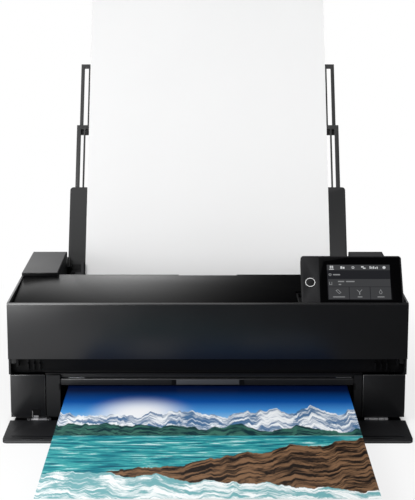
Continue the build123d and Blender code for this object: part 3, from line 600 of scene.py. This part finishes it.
def made_piece(name, build, body, finish):
    """Finish a mesh that was built up: normals out, smooth, coated and riding on its body."""
    mesh = bpy.data.meshes.new(name)
    bmesh.ops.recalc_face_normals(build, faces=build.faces)
    build.to_mesh(mesh)
    build.free()
    smoothed(mesh)
    mesh.materials.append(finish)
    piece = placed(name, mesh)
    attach(piece, body)
    return piece


def plates(name, finish, boxes, low, high, corner, place=Matrix(), body="case", steps=4):
    """Piece of flat plates with round corners, each between limits both ways."""
    build = bmesh.new()
    for x, y in boxes:
        prism(build, rounded(x, y, corner, steps), low, high, place)
    made_piece(name, build, body, finish)


def turned(place, angle, axis="X"):
    """Axes at a place, turned about one of them."""
    return Matrix.Translation(place) @ Matrix.Rotation(angle, 4, axis)


def wall_at(y):
    """Axes of a wall that looks to the front: across, up and out."""
    return turned((0, y, 0), pi / 2)


insert_low, insert_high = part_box("exit_bar_insert")
slit_z = (insert_low.z + slit_edge, insert_high.z - slit_edge)
# Black plates at both ends of the insert are painted shade that stands for slits.
slit_shade_plates = [((start, start + slit_width), slit_z) for start in (insert_low.x, insert_high.x - slit_width)]
plates("insert_slits", black_and_painted_shade, slit_shade_plates, -0.0002, 0.00015, 0.0004, wall_at(insert_low.y))

# Posts of the mouth. Two thin flat strips on the band close the space between the corner panels and
# the mouth, level with the panels; a small black plate at the inner edge of each is painted shade of a notch.
post_gap = 0.0007
post_seam = 0.0017
notch_width = 0.0022
notch_z = (0.053, 0.0635)
band_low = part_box("front_band")[0]
bar_low, bar_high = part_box("exit_bar")
post_z = (band_low.z + post_gap, bar_high.z - post_gap)
post_wall = wall_at(band_low.y)
left_post = (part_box("left_front_panel")[1].x + post_seam, bar_low.x - post_gap)
right_post = (bar_high.x + post_gap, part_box("right_front_panel")[0].x - post_seam)
for side, ends, notch in (("left", left_post, (left_post[1] - notch_width, left_post[1])),
                          ("right", right_post, (right_post[0], right_post[0] + notch_width))):
    plates(f"mouth_post_{side}", panel_black, [(ends, post_z)], 0.0, 0.0004, 0.0008, post_wall)
    # The black plate on each post is painted shade standing for a notch.
    plates(f"post_notch_{side}", black_and_painted_shade, [(notch, notch_z)], 0.0, 0.00048, 0.0004, post_wall)

# Skirt of the base and painted shade under it. A thin wall under the base pan, set in from its edges, keeps
# dust out from below, and a flat black sheet of painted shade runs from its front wall to the fold of the
# front cover.
skirt_inset = (0.005, 0.0158, 0.014)
skirt_wall = 0.0018
skirt_foot = 0.0012
shade_sheet_half = 0.302
skirt_x = base_high.x - skirt_inset[0]
skirt_y = (base_low.y + skirt_inset[1], base_high.y - skirt_inset[2])
inner_y = (skirt_y[0] + skirt_wall, skirt_y[1] - skirt_wall)
walls = [((-skirt_x, skirt_x), (skirt_y[0], inner_y[0])), ((-skirt_x, skirt_x), (inner_y[1], skirt_y[1])),
         ((-skirt_x, skirt_wall - skirt_x), inner_y), ((skirt_x - skirt_wall, skirt_x), inner_y)]
plates("base_skirt", works_black, walls, skirt_foot, base_low.z + 0.0004, 0.0004, steps=2)
# A flat black sheet on the floor, painted shade between the base and the front cover's fold.
shade_sheet_y = (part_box("front_cover_hinges")[0].y - 0.0006, inner_y[0])
plates("front_shade_sheet", black_and_painted_shade, [((-shade_sheet_half, shade_sheet_half), shade_sheet_y)], 0.0003, 0.0011, 0.001)

# Shafts of the star wheels. A short bright rod of ground steel shows at each end of the dark gap over the
# exit bar; it turns in the bar's moulding, above the print.
shaft_radius = 0.0009
shaft_length = 0.024
shaft_back = 0.0055
shaft_drop = 0.0062


def disc(cx, cy, radius, steps):
    """Outline of a circle."""
    return [(cx + radius * cos(2 * pi * step / steps), cy + radius * sin(2 * pi * step / steps))
            for step in range(steps)]


for side, middle in (("left", bar_low.x + 0.024), ("right", bar_high.x - 0.015)):
    build = bmesh.new()
    across = turned((middle, bar_low.y + shaft_back, bar_high.z - shaft_drop), pi / 2, "Y")
    prism(build, disc(0, 0, shaft_radius, 16), -shaft_length / 2, shaft_length / 2, across)
    made_piece(f"star_wheel_shaft_{side}", build, "case", ground_steel)

# Ink cover. The wide fascia is one moulding with a satin coat; its bevelled top edge is polished, in a
# lighter tint that is partly a painted highlight, and catches a small light over its left end, and it turns
# on two round knobs under its lower corners.
satin = moulded("fascia_satin", (0.0052, 0.0054, 0.0064), 0.34, specular=0.5, depth=0.04, mottle=0.06)
# The bevel's lighter tint is partly a painted highlight.
polished = moulded("polished_highlight_bevel", (0.012, 0.0122, 0.013), 0.2, specular=0.7, depth=0.01, mottle=0.05)
fascia = softened("ink_cover", satin, 0.0008)
faced(fascia, (0, -cos(pi / 4), sin(pi / 4)), polished)


def only_on(light, piece):
    """Turn a softbox to one piece alone."""
    lit = bpy.data.collections.new(light.name + "_receivers")
    lit.objects.link(piece)
    light.light_linking.receiver_collection = lit


def graded(light, piece, spread):
    """Softbox whose glow falls off to both sides of its middle, mirrored by one piece alone."""
    only_on(light, piece)
    light.visible_diffuse = False
    light.data.use_nodes = True
    tree = light.data.node_tree
    across = axes(tree, add(tree, "NewGeometry").outputs["Parametric"])["X"]
    aside = maths(tree, "SUBTRACT", across, 0.5)
    steep = -0.5 * (light.data.size / spread) ** 2
    fall = maths(tree, "MULTIPLY", maths(tree, "MULTIPLY", aside, aside), steep)
    feed(tree, tree.nodes["Emission"], {"Strength": maths(tree, "EXPONENT", fall)})


fascia_low, fascia_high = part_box("ink_cover")
top_corner = Vector((fascia_low.x, fascia_low.y, fascia_high.z))
glow_place = top_corner + Vector((-0.216, -0.118, 0.48))
graded(softbox("rim_glow", glow_place, glow_place - Vector((0, 0, 1)), (0.8, 0.12), 2.2), fascia, 0.14)
flank_place = top_corner + Vector((-0.42, -0.55, 0.2))
only_on(softbox("fascia_flank", flank_place, top_corner, (0.25, 0.25), 3.4), fascia)

# Top cover. A sheet of smoked acrylic with a polished face lies on a moulded frame and slopes a little
# to the front; it hinges in the side walls, with a finger notch at the middle of its rear edge.
sheen_high = 0.16


def glazed(name, scale, dark, pale, swing, rough, specular, detail=3.0):
    """Polished black sheet whose tint and gloss change with a faint haze."""
    made, tree, shader = material(name)
    haze = noise(tree, spot_on(tree), scale, detail)
    feed(tree, shader, {"Base Color": mixed(tree, haze, (*dark, 1), (*pale, 1)),
                        "Roughness": maths(tree, "MULTIPLY_ADD", haze, swing, rough),
                        "Specular IOR Level": specular})
    return made


softened("printer_cover", works_black)
acrylic = glazed("smoked_acrylic", 9.0, (0.0014, 0.0014, 0.0016), (0.0022, 0.0022, 0.0025), 0.06, 0.21, 0.01)
window = softened("cover_window", acrylic)
window_low, window_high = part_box("cover_window")
sheen_x, sheen_z = window_low.x * 0.47, window_high.z + sheen_high / 2
sheen = softbox("sheen_card", (sheen_x, window_high.y + 0.01, sheen_z), (sheen_x, front_y, sheen_z),
                (0.8, sheen_high), 1.3)
graded(sheen, window, 0.093)

# Corner blocks. Two caps with a finer grain close the rear corners beside the support; their lighter tint is
# partly a painted sheen, and their front ends, over the cover's hinges, are painted black as shade.
# The caps' grey tint is partly a painted sheen; their front faces are painted shade.
corner_sheen_grey = moulded("corner_grey_grain", (0.018, 0.0182, 0.02), 0.3, specular=0.9, depth=0.05)
for side in ("left", "right"):
    faced(softened(f"corner_cover_{side}", corner_sheen_grey), (0, -1, 0), black_and_painted_shade)

# Control panel. A moulded housing tilts out of a bay in the right front corner; a strip of grained
# plastic holds the button, and a black glass bezel surrounds the lit screen.
joint_of = {joint["name"]: joint for joint in frame["joints"]}


def joint_axes(joint, angle, axis="X"):
    """Axes in the middle of a joint that lies across, turned about one of them."""
    return turned((0, *joint_of[joint]["pos_m"][1:]), angle, axis)


def local_box(node, place):
    """Lowest and highest corners of a plain piece in turned axes."""
    back = place.inverted()
    points = [back @ corner.co for corner in frame["nodes"][node].data.vertices]
    return [Vector([pick(point[axis] for point in points) for axis in range(3)]) for pick in (min, max)]


panel_place = joint_axes("control_panel_tilt", radians(joint_of["control_panel_tilt"]["range_deg"][1]))
softened("panel_bay", black_and_painted_shade, 0.0005)
softened("panel_housing", moulded("panel_strip_grain", (0.0125, 0.0125, 0.0138), 0.5, specular=0.2), 0.0007)
bezel = glazed("bezel_glass", 30.0, (0.001, 0.001, 0.0012), (0.0018, 0.0018, 0.0021), 0.08, 0.06, 0.04, 4.0)
softened("panel_glass", bezel, 0.0003)


def lit_pixels(name, colour):
    """Screen colour shown by a fine grid of lit pixels."""
    made, tree, shader = material(name)
    dots = add(tree, "TexChecker", {
        "Vector": spot_on(tree), "Scale": 4200.0, "Color1": (*colour, 1),
        "Color2": (*(0.9 * part for part in colour), 1)})
    feed(tree, shader, {"Emission Color": dots.outputs["Color"], "Emission Strength": 1.0,
                        "Base Color": (0.001, 0.001, 0.001, 1), "Roughness": 0.2, "Specular IOR Level": 0.05})
    return made


softened("lcd_screen", lit_pixels("screen_ground", (0.016, 0.0165, 0.0195)), 0.0002, 1)

# Screen page. Plain bands make the rows and cells of a menu, and simple signs and blank bars stand in
# them; they lie a hair above the screen, as a lit picture under its glass would look.
screen_low, screen_high = local_box("lcd_screen", panel_place)
screen_size = screen_high - screen_low
band_level = (screen_high.z, screen_high.z + 0.00008)
sign_level = (screen_high.z, screen_high.z + 0.00016)
cell_pitch = 0.331
pen = 0.00085


def on_page(across, down):
    """Point of the page from its share of the way across and down."""
    return (screen_low.x + across * screen_size.x, screen_high.y - down * screen_size.y)


def page_box(build, left, right, top, bottom, corner, level=sign_level):
    """Plate on the page between two shares each way."""
    first_x, last_y = on_page(left, top)
    last_x, first_y = on_page(right, bottom)
    prism(build, rounded((first_x, last_x), (first_y, last_y), corner), *level, panel_place)


def stroke(build, width, *points):
    """Line of even width on the page through points in shares."""
    places = [Vector(on_page(*point)) for point in points]
    for first, second in zip(places, places[1:]):
        run = (second - first).normalized()
        side = Vector((-run.y, run.x)) * width / 2
        tip = run * width / 2
        corners = [first - tip - side, second + tip - side, second + tip + side, first - tip + side]
        prism(build, corners, *sign_level, panel_place)


def ring(build, cx, cy, outer, inner, low, high, place, steps):
    """Closed ring between two heights, in turned axes."""
    loops = [loop(build, disc(cx, cy, radius, steps), level, place)
             for radius, level in ((outer, low), (outer, high), (inner, high), (inner, low))]
    skin(build, *loops, loops[0])


bands = bmesh.new()
page_box(bands, 0.0, 1.0, 0.0, 0.155, 0.0002, band_level)
page_box(bands, 0.012, 0.995, 0.415, 0.632, 0.0004, band_level)
for cell in range(3):
    page_box(bands, 0.012 + cell * cell_pitch, 0.333 + cell * cell_pitch, 0.645, 0.995, 0.0004, band_level)
made_piece("screen_bands", bands, "control_panel", lit_pixels("screen_band", (0.05, 0.051, 0.054)))

signs = bmesh.new()
for column in (0, 0.03):
    for row in (0, 0.042):
        page_box(signs, 0.046 + column, 0.07 + column, 0.03 + row, 0.062 + row, 0.0002)
for box in ((0.035, 0.11, 0.125, 0.14, 0.0001), (0.215, 0.245, 0.045, 0.115, 0.0003),
            (0.252, 0.28, 0.06, 0.115, 0.0003), (0.545, 0.585, 0.04, 0.08, 0.0004),
            (0.575, 0.615, 0.085, 0.115, 0.0004)):
    page_box(signs, *box)
ring(signs, *on_page(0.415, 0.08), 0.0021, 0.0013, *sign_level, panel_place, 32)
for bar, rise in enumerate((0.075, 0.055, 0.07, 0.04, 0.06)):
    page_box(signs, 0.68 + bar * 0.028, 0.697 + bar * 0.028, 0.115 - rise, 0.115, 0.0001)
prism(signs, disc(*on_page(0.91, 0.08), 0.0024, 32), *sign_level, panel_place)
made_piece("screen_signs", signs, "control_panel", lit_pixels("screen_white", (0.62, 0.63, 0.64)))

notes = bmesh.new()
ring(notes, *on_page(0.046, 0.285), 0.0023, 0.0016, *sign_level, panel_place, 32)
prism(notes, disc(*on_page(0.046, 0.285), 0.0008, 16), *sign_level, panel_place)
for box in ((0.092, 0.205, 0.27, 0.305, 0.0006), (0.165, 0.265, 0.468, 0.502, 0.0006),
            (0.295, 0.43, 0.468, 0.502, 0.0006), (0.175, 0.215, 0.555, 0.585, 0.0005)):
    page_box(notes, *box)
stroke(notes, pen, (0.03, 0.505), (0.03, 0.575), (0.068, 0.575), (0.068, 0.505))
stroke(notes, pen, (0.13, 0.745), (0.16, 0.72), (0.205, 0.805), (0.178, 0.835), (0.13, 0.745))
stroke(notes, pen, (0.462, 0.73), (0.5, 0.795), (0.538, 0.725))
stroke(notes, pen * 1.8, (0.5, 0.79), (0.5, 0.85))
stroke(notes, pen, (0.834, 0.72), (0.812, 0.795), (0.822, 0.838), (0.846, 0.838), (0.856, 0.795),
       (0.834, 0.72))
for middle, half in ((0.172, 0.095), (0.503, 0.0375), (0.834, 0.055)):
    page_box(notes, middle - half, middle + half, 0.915, 0.942, 0.0005)
made_piece("screen_notes", notes, "control_panel", lit_pixels("screen_grey", (0.24, 0.245, 0.25)))

# Push button. A moulded black cap sits flush in the strip, which guides it when it is pressed; a white
# ring is printed round its edge.
softened("home_button", moulded("button_black", (0.01, 0.01, 0.011), 0.45, specular=0.2), 0.0004)
cap_low, cap_high = local_box("home_button", panel_place)
cap_middle = (cap_low + cap_high) / 2
cap_radius = (cap_high.x - cap_low.x) / 2
ink_white = moulded("ring_white", (0.78, 0.78, 0.78), 0.45, specular=0.3, depth=0.03, mottle=0.05)
build = bmesh.new()
ring(build, *cap_middle.xy, cap_radius - 0.0004, cap_radius - 0.0013, cap_high.z, cap_high.z + 0.00012,
     panel_place, 64)
made_piece("button_ring", build, "home_button", ink_white)

# Front cover. The lower cover lies folded down on the table, inner face up: a ridge stiffens it near its
# free edge, two thumb tabs stand before the ridge, and a paler strip along the edge itself is a painted
# highlight.
ridge_top = 0.0063
flap_black = moulded("flap_black_grain", (0.013, 0.0132, 0.0145), 0.5, specular=0.14)
softened("front_cover", flap_black, 0.0011, 3, edge_wear_and_highlight)
flap_low, flap_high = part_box("front_cover")
tray_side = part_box("tray_stage_1")[1].x
ridge_y = (flap_low.y + 0.015, flap_low.y + 0.0172)
tab_y = (flap_low.y + 0.005, flap_low.y + 0.009)
build = bmesh.new()
for side in (-1, 1):
    ends = sorted((side * (flap_high.x - 0.012), side * (tray_side + 0.012)))
    prism(build, rounded(ends, ridge_y, 0.0009), flap_high.z - 0.0015, flap_low.z + ridge_top)
    tab = sorted((side * (flap_high.x - 0.03), side * (flap_high.x - 0.06)))
    prism(build, rounded(tab, tab_y, 0.0015), 0.004, ridge_top)
made_piece("flap_ridge", build, "front_cover", flap_black)
# The pale strip along the front edge is a painted highlight.
lip_highlight_grey = moulded("lip_grey_satin", (0.05, 0.0505, 0.052), 0.36, specular=0.5, depth=0.04)
lip_box = ((flap_low.x + 0.003, flap_high.x - 0.003), (0.0013, 0.004))
plates("flap_lip_highlight", lip_highlight_grey, [lip_box], -0.0002, 0.0004, 0.0008, wall_at(flap_low.y), "front_cover")

# Hinge fittings. A steel roller turns on the left barrel under a riveted tongue, beside a slim link; flat
# sleeves of a paler steel, painted light for the dim right side, cover the right barrel, and a thin black
# plate on the panel over the roller is painted shade standing for a notch.
pin_end = 0.0064
bore_of = {"case": 0.00295, "front_cover": 0.00345}
hinge_steel = metal("hinge_steel", (0.2, 0.2, 0.21), 0.5)
# The right sleeves' paler steel is painted light, making up for the dim right side.
sleeve_steel_painted_light = metal("sleeve_steel_painted_light", (0.42, 0.42, 0.43), 0.44)
roller_steel = metal("roller_steel", (0.36, 0.36, 0.37), 0.46)
plate_steel = metal("plate_steel", (0.4, 0.4, 0.41), 0.5)
softened("front_cover_hinges", hinge_steel, 0.0003)
hinge_low, hinge_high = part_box("front_cover_hinges")
left_end, right_end = hinge_low.x + pin_end, hinge_high.x - pin_end
fold_line = joint_axes("front_cover_fold", pi / 2, "Y")
for name, body, start, end, radius, finish in (
        ("hinge_roller_left", "case", left_end + 0.0032, left_end + 0.011, 0.00395, roller_steel),
        ("hinge_link_left", "case", left_end + 0.0125, left_end + 0.0236, 0.0033, hinge_steel),
        ("hinge_sleeve_right_inner", "case", right_end - 0.0236, right_end - 0.01, 0.0036, sleeve_steel_painted_light),
        ("hinge_sleeve_right_outer", "case", right_end - 0.008, right_end - 0.0004, 0.0036, sleeve_steel_painted_light),
        ("knuckle_sleeve_inner", "front_cover", right_end - 0.0302, right_end - 0.0244, 0.0036, sleeve_steel_painted_light),
        ("knuckle_sleeve_outer", "front_cover", right_end + 0.0004, right_end + 0.006, 0.0036, sleeve_steel_painted_light)):
    build = bmesh.new()
    ring(build, 0, 0, radius, bore_of[body], start, end, fold_line, 40)
    made_piece(name, build, body, finish)
panel_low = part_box("left_front_panel")[0]
# The black plate over the roller is painted shade standing for a notch.
for name, slot, ends, rise, proud, finish in (
        ("hinge_notch_shade", "case_black", (0.0001, 0.0141), (0.0003, 0.0127), 0.0005, black_and_painted_shade),
        ("hinge_tongue", "bright_steel", (0.0032, 0.011), (0.0002, 0.0026), 0.00085, plate_steel),
        ("hinge_plate_edge", "bright_steel", (0.0011, 0.002), (0.0002, 0.0105), 0.0008, plate_steel)):
    box = ([left_end + x for x in ends], [panel_low.z + z for z in rise])
    plates(name, finish, [box], 0.0, proud, 0.0003, wall_at(panel_low.y))

# Output tray. Three black stages slide in each other under the print; low ribs along each floor keep
# the sheet from sticking.
rib_floor = {1: (0.002, 0.00025), 2: (0.0015, 0.00025), 3: (0.0034, 0.0006)}
rib_count = 7
rib_pitch = 0.016
rib_margin = 0.016
tray_black = moulded("tray_black_grain", (0.012, 0.012, 0.013), 0.55, specular=0.2)
for stage, (rib_z, rib_height) in rib_floor.items():
    node = f"tray_stage_{stage}"
    softened(node, tray_black, 0.0005)
    stage_low, stage_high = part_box(node)
    first_rib = (-rib_pitch * (rib_count - 1) / 2, (stage_low.y + stage_high.y) / 2, stage_low.z + rib_z)
    rib_size = (0.0016, stage_high.y - stage_low.y - rib_margin, rib_height, 0.0006)
    row_of_plates(f"tray_ribs_{stage}", frame["nodes"][node]["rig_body"], tray_black, rib_size,
                  rib_count, first_rib, rib_pitch, (0, 0, 0))

# Paper support. A folding back plate leans behind the feeder; two arms at each side telescope out of
# its pockets, with a black slider at the foot of the upper arm and a small hook on the lower arm's cap.
# A thin lip behind the feeder closes the slot under the plate.
lean = radians(joint_of["support_fold"]["range_deg"][1] - 90)
lean_place = joint_axes("support_fold", pi / 2 - lean)
support_grey = moulded("support_grey_grain", (0.03, 0.0303, 0.0312), 0.5, specular=0.28)
arm_grey = moulded("arm_grey_satin", (0.042, 0.0423, 0.0432), 0.45, specular=0.3, depth=0.05)
softened("support_panel", support_grey, 0.0012)
plate_front = local_box("blank_sheet", lean_place)[0].z - 0.0002
sheet_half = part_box("blank_sheet")[1].x
for side, sign in (("left", -1), ("right", 1)):
    for stage in ("lower", "upper"):
        softened(f"support_arm_{stage}_{side}", arm_grey, 0.0005)
    lower_low, lower_high = local_box(f"support_arm_lower_{side}", lean_place)
    upper_low, upper_high = local_box(f"support_arm_upper_{side}", lean_place)
    slider_x, hook_x, strip_x = [sorted((sign * (sheet_half + near), sign * (sheet_half + far)))
                                 for near, far in ((0.0096, 0.0143), (0.001, 0.0032), (0.0002, 0.0252))]
    slider_y = (upper_low.y + 0.0004, upper_low.y + 0.0115)
    hook_y = (lower_high.y - 0.0165, lower_high.y - 0.0078)
    plates(f"arm_slider_{side}", works_black, [(slider_x, slider_y)], upper_high.z - 0.0002,
           upper_high.z + 0.00012, 0.0006, lean_place, f"support_arm_upper_{side}")
    plates(f"arm_hook_{side}", works_black, [(hook_x, hook_y)], lower_low.z, lower_high.z, 0.0006, lean_place,
           f"support_arm_lower_{side}")
    # Black strips at the plate's foot fill the gap there; their black is painted shade.
    plates(f"support_foot_strip_{side}", black_and_painted_shade, [(strip_x, (-0.0046, 0.005))], plate_front - 0.0006,
           plate_front + 0.0002, 0.0004, lean_place, "support_panel")
lip_half = sheet_half + 0.0345
plates("hopper_lip", black_and_painted_shade, [((-lip_half, lip_half), (-0.024, 0.003))], plate_front - 0.0044,
       plate_front - 0.0029, 0.0004, lean_place)

# Blank sheet. Heavy matte photo paper stands on the support, nearly flat, with a faint bow at its free
# top edge; it goes down into the feeder, and the edge guides can slide over its face.
sheet_columns = 24
sheet_rows = 32
sheet_bow = 0.0006
sheet_thickness = 0.00012
paper_white, tree, shader = material("matte_paper")
spot = spot_on(tree)
fibre = noise(tree, spot, 900.0, 5.0, 0.7)
wash = noise(tree, spot, 5.0, 2.0)
tone = mixed(tree, wash, (0.772, 0.773, 0.775, 1), (0.8, 0.801, 0.803, 1))
dent = add(tree, "Bump", {"Strength": 0.05, "Distance": 0.0002, "Height": fibre})
hue = mixed(tree, maths(tree, "MULTIPLY", fibre, 0.06), tone, (0.74, 0.74, 0.745, 1))
feed(tree, shader, {"Base Color": hue, "Normal": dent.outputs[0], "Roughness": 0.85,
                    "Specular IOR Level": 0.1})


def paper(low, high, place, bow):
    """Closed thin sheet in turned axes, bowed a little towards its free end."""
    build = bmesh.new()
    bmesh.ops.create_grid(build, x_segments=sheet_columns, y_segments=sheet_rows, size=0.5)
    for made in bmesh.ops.extrude_face_region(build, geom=build.faces[:])["geom"]:
        if isinstance(made, bmesh.types.BMVert):
            made.co.z = 1
    for corner in build.verts:
        share = corner.co + Vector((0.5, 0.5, 0))
        lift = bow * share.y ** 2 * (1 - 0.5 * sin(pi * share.x))
        corner.co = place @ (low + share * (high - low) + Vector((0, 0, lift)))
    return build


sheet_low, sheet_high = local_box("blank_sheet", lean_place)
sheet_high.z = sheet_low.z + sheet_thickness
blank = made_piece("blank_paper", paper(sheet_low, sheet_high, lean_place, sheet_bow), "blank_sheet",
                   paper_white)
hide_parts("blank_sheet")
blank.visible_glossy = False
fill_place = Vector((0.75, front_y - 0.6, 0.45))
only_on(softbox("sheet_fill", fill_place, lean_place @ Vector((0.1, 0.08, 0)), (0.7, 0.5), 3.2), blank)
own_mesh(blank)

# Printed sheet. Semi-gloss photo paper with a full-bleed view over a mountain lake: night-blue sky, a snowy
# range, turquoise water and a brown shore, printed in fine ink dots.
picture_end = front_y + 0.01
sun_place = (0.27, 0.7, 0)
sky_stops = ((0.6, (0.42, 0.7, 0.9)), (0.73, (0.07, 0.32, 0.74)), (0.83, (0.003, 0.08, 0.36)),
             (0.95, (0.0006, 0.008, 0.05)))
water_stops = ((0.33, (0.003, 0.065, 0.12)), (0.46, (0.008, 0.21, 0.26)), (0.56, (0.06, 0.43, 0.43)),
               (0.67, (0.78, 0.93, 0.92)))
land_labels = ("Level", "Slope", "Relief", "Scale", "Seed", "Lit", "Shade", "Bands")
land = ((0.72, 0.04, 0.3, 7.0, 1.7, (0.92, 0.95, 0.98, 1), (0.07, 0.17, 0.33, 1), 16.0),
        (0.585, -0.06, 0.15, 9.0, 8.2, (0.05, 0.17, 0.13, 1), (0.004, 0.03, 0.04, 1), 30.0))
shore = ((0.3, 0.36, 0.16, 6.0, 3.1, (0.23, 0.125, 0.065, 1), (0.012, 0.007, 0.005, 1), 24.0),
         (0.13, -0.16, 0.16, 6.0, 5.6, (0.93, 0.96, 0.96, 1), (0.17, 0.42, 0.45, 1), 18.0))

tree, given, put = effect(
    "land_layer", {"Under": (0, 0, 0, 1), "Place": (0, 0, 0), "Level": 0.5, "Slope": 0.0, "Relief": 0.1,
                   "Scale": 3.0, "Seed": 0.0, "Lit": (1, 1, 1, 1), "Shade": (0, 0, 0, 1), "Bands": 8.0},
    {"Color": (0, 0, 0, 1)})
layer_group = tree
here = axes(tree, given["Place"])
reach = maths(tree, "MULTIPLY_ADD", here[0], given["Scale"], given["Seed"])
crest = add(tree, "TexNoise", {"W": reach, "Scale": 1.0, "Detail": 9.0, "Roughness": 0.55},
            noise_dimensions="1D").outputs[0]
skyline = swung(tree, crest, given["Relief"], swung(tree, here[0], given["Slope"], given["Level"]))
below = maths(tree, "SUBTRACT", skyline, here[1])
shift = maths(tree, "MULTIPLY", below, given["Bands"])
drift = add(tree, "CombineXYZ", {0: reach, 1: shift, 2: given["Seed"]}).outputs[0]
sharp = fade(tree, noise(tree, drift, 1.6, 10.0, 0.68, 0.8), 0.44, 0.57)
rock = mixed(tree, sharp, given["Shade"], given["Lit"])
feed(tree, put, {"Color": mixed(tree, fade(tree, below, 0.0, 0.004), given["Under"], rock)})

print_low, print_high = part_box("printed_sheet")
photo_print, tree, shader = material("printed_picture")
spot = spot_on(tree)
here = axes(tree, spot)
across = fade(tree, here[0], print_low.x, print_high.x)
along = fade(tree, here[1], print_low.y, picture_end)
place = add(tree, "CombineXYZ", {0: across, 1: along}).outputs[0]
halo = fade(tree, vectors(tree, "DISTANCE", place, sun_place), 0.02, 0.22, 1.0, 0.0, "SMOOTHERSTEP")
sky = mixed(tree, halo, ramp(tree, along, sky_stops), (0.95, 0.97, 1.0, 1))
ripple = noise(tree, vectors(tree, "MULTIPLY", place, (3.2, 26.0, 1)), 2.4, 10.0, 0.66, 0.5)


def laid_over(picture, layers):
    """The picture with land layers laid over it one by one, from the far range to the near shore."""
    for values in layers:
        layer = {"Under": picture, "Place": place, **dict(zip(land_labels, values))}
        picture = add(tree, "Group", layer, node_tree=layer_group).outputs["Color"]
    return picture


lake = fade(tree, along, 0.5, 0.505, 1.0, 0.0)
picture = laid_over(mixed(tree, lake, laid_over(sky, land), ramp(tree, ripple, water_stops)), shore)
ink_dots = noise(tree, spot, 1500.0, 2.0)
feed(tree, shader, {"Base Color": picture, "Roughness": maths(tree, "MULTIPLY_ADD", ink_dots, 0.15, 0.3),
                    "Specular IOR Level": 0.08})
printed = made_piece("photo_print", paper(print_low, print_high, Matrix(), 0.0), "printed_sheet",
                     photo_print)
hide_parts("printed_sheet")
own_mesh(printed)
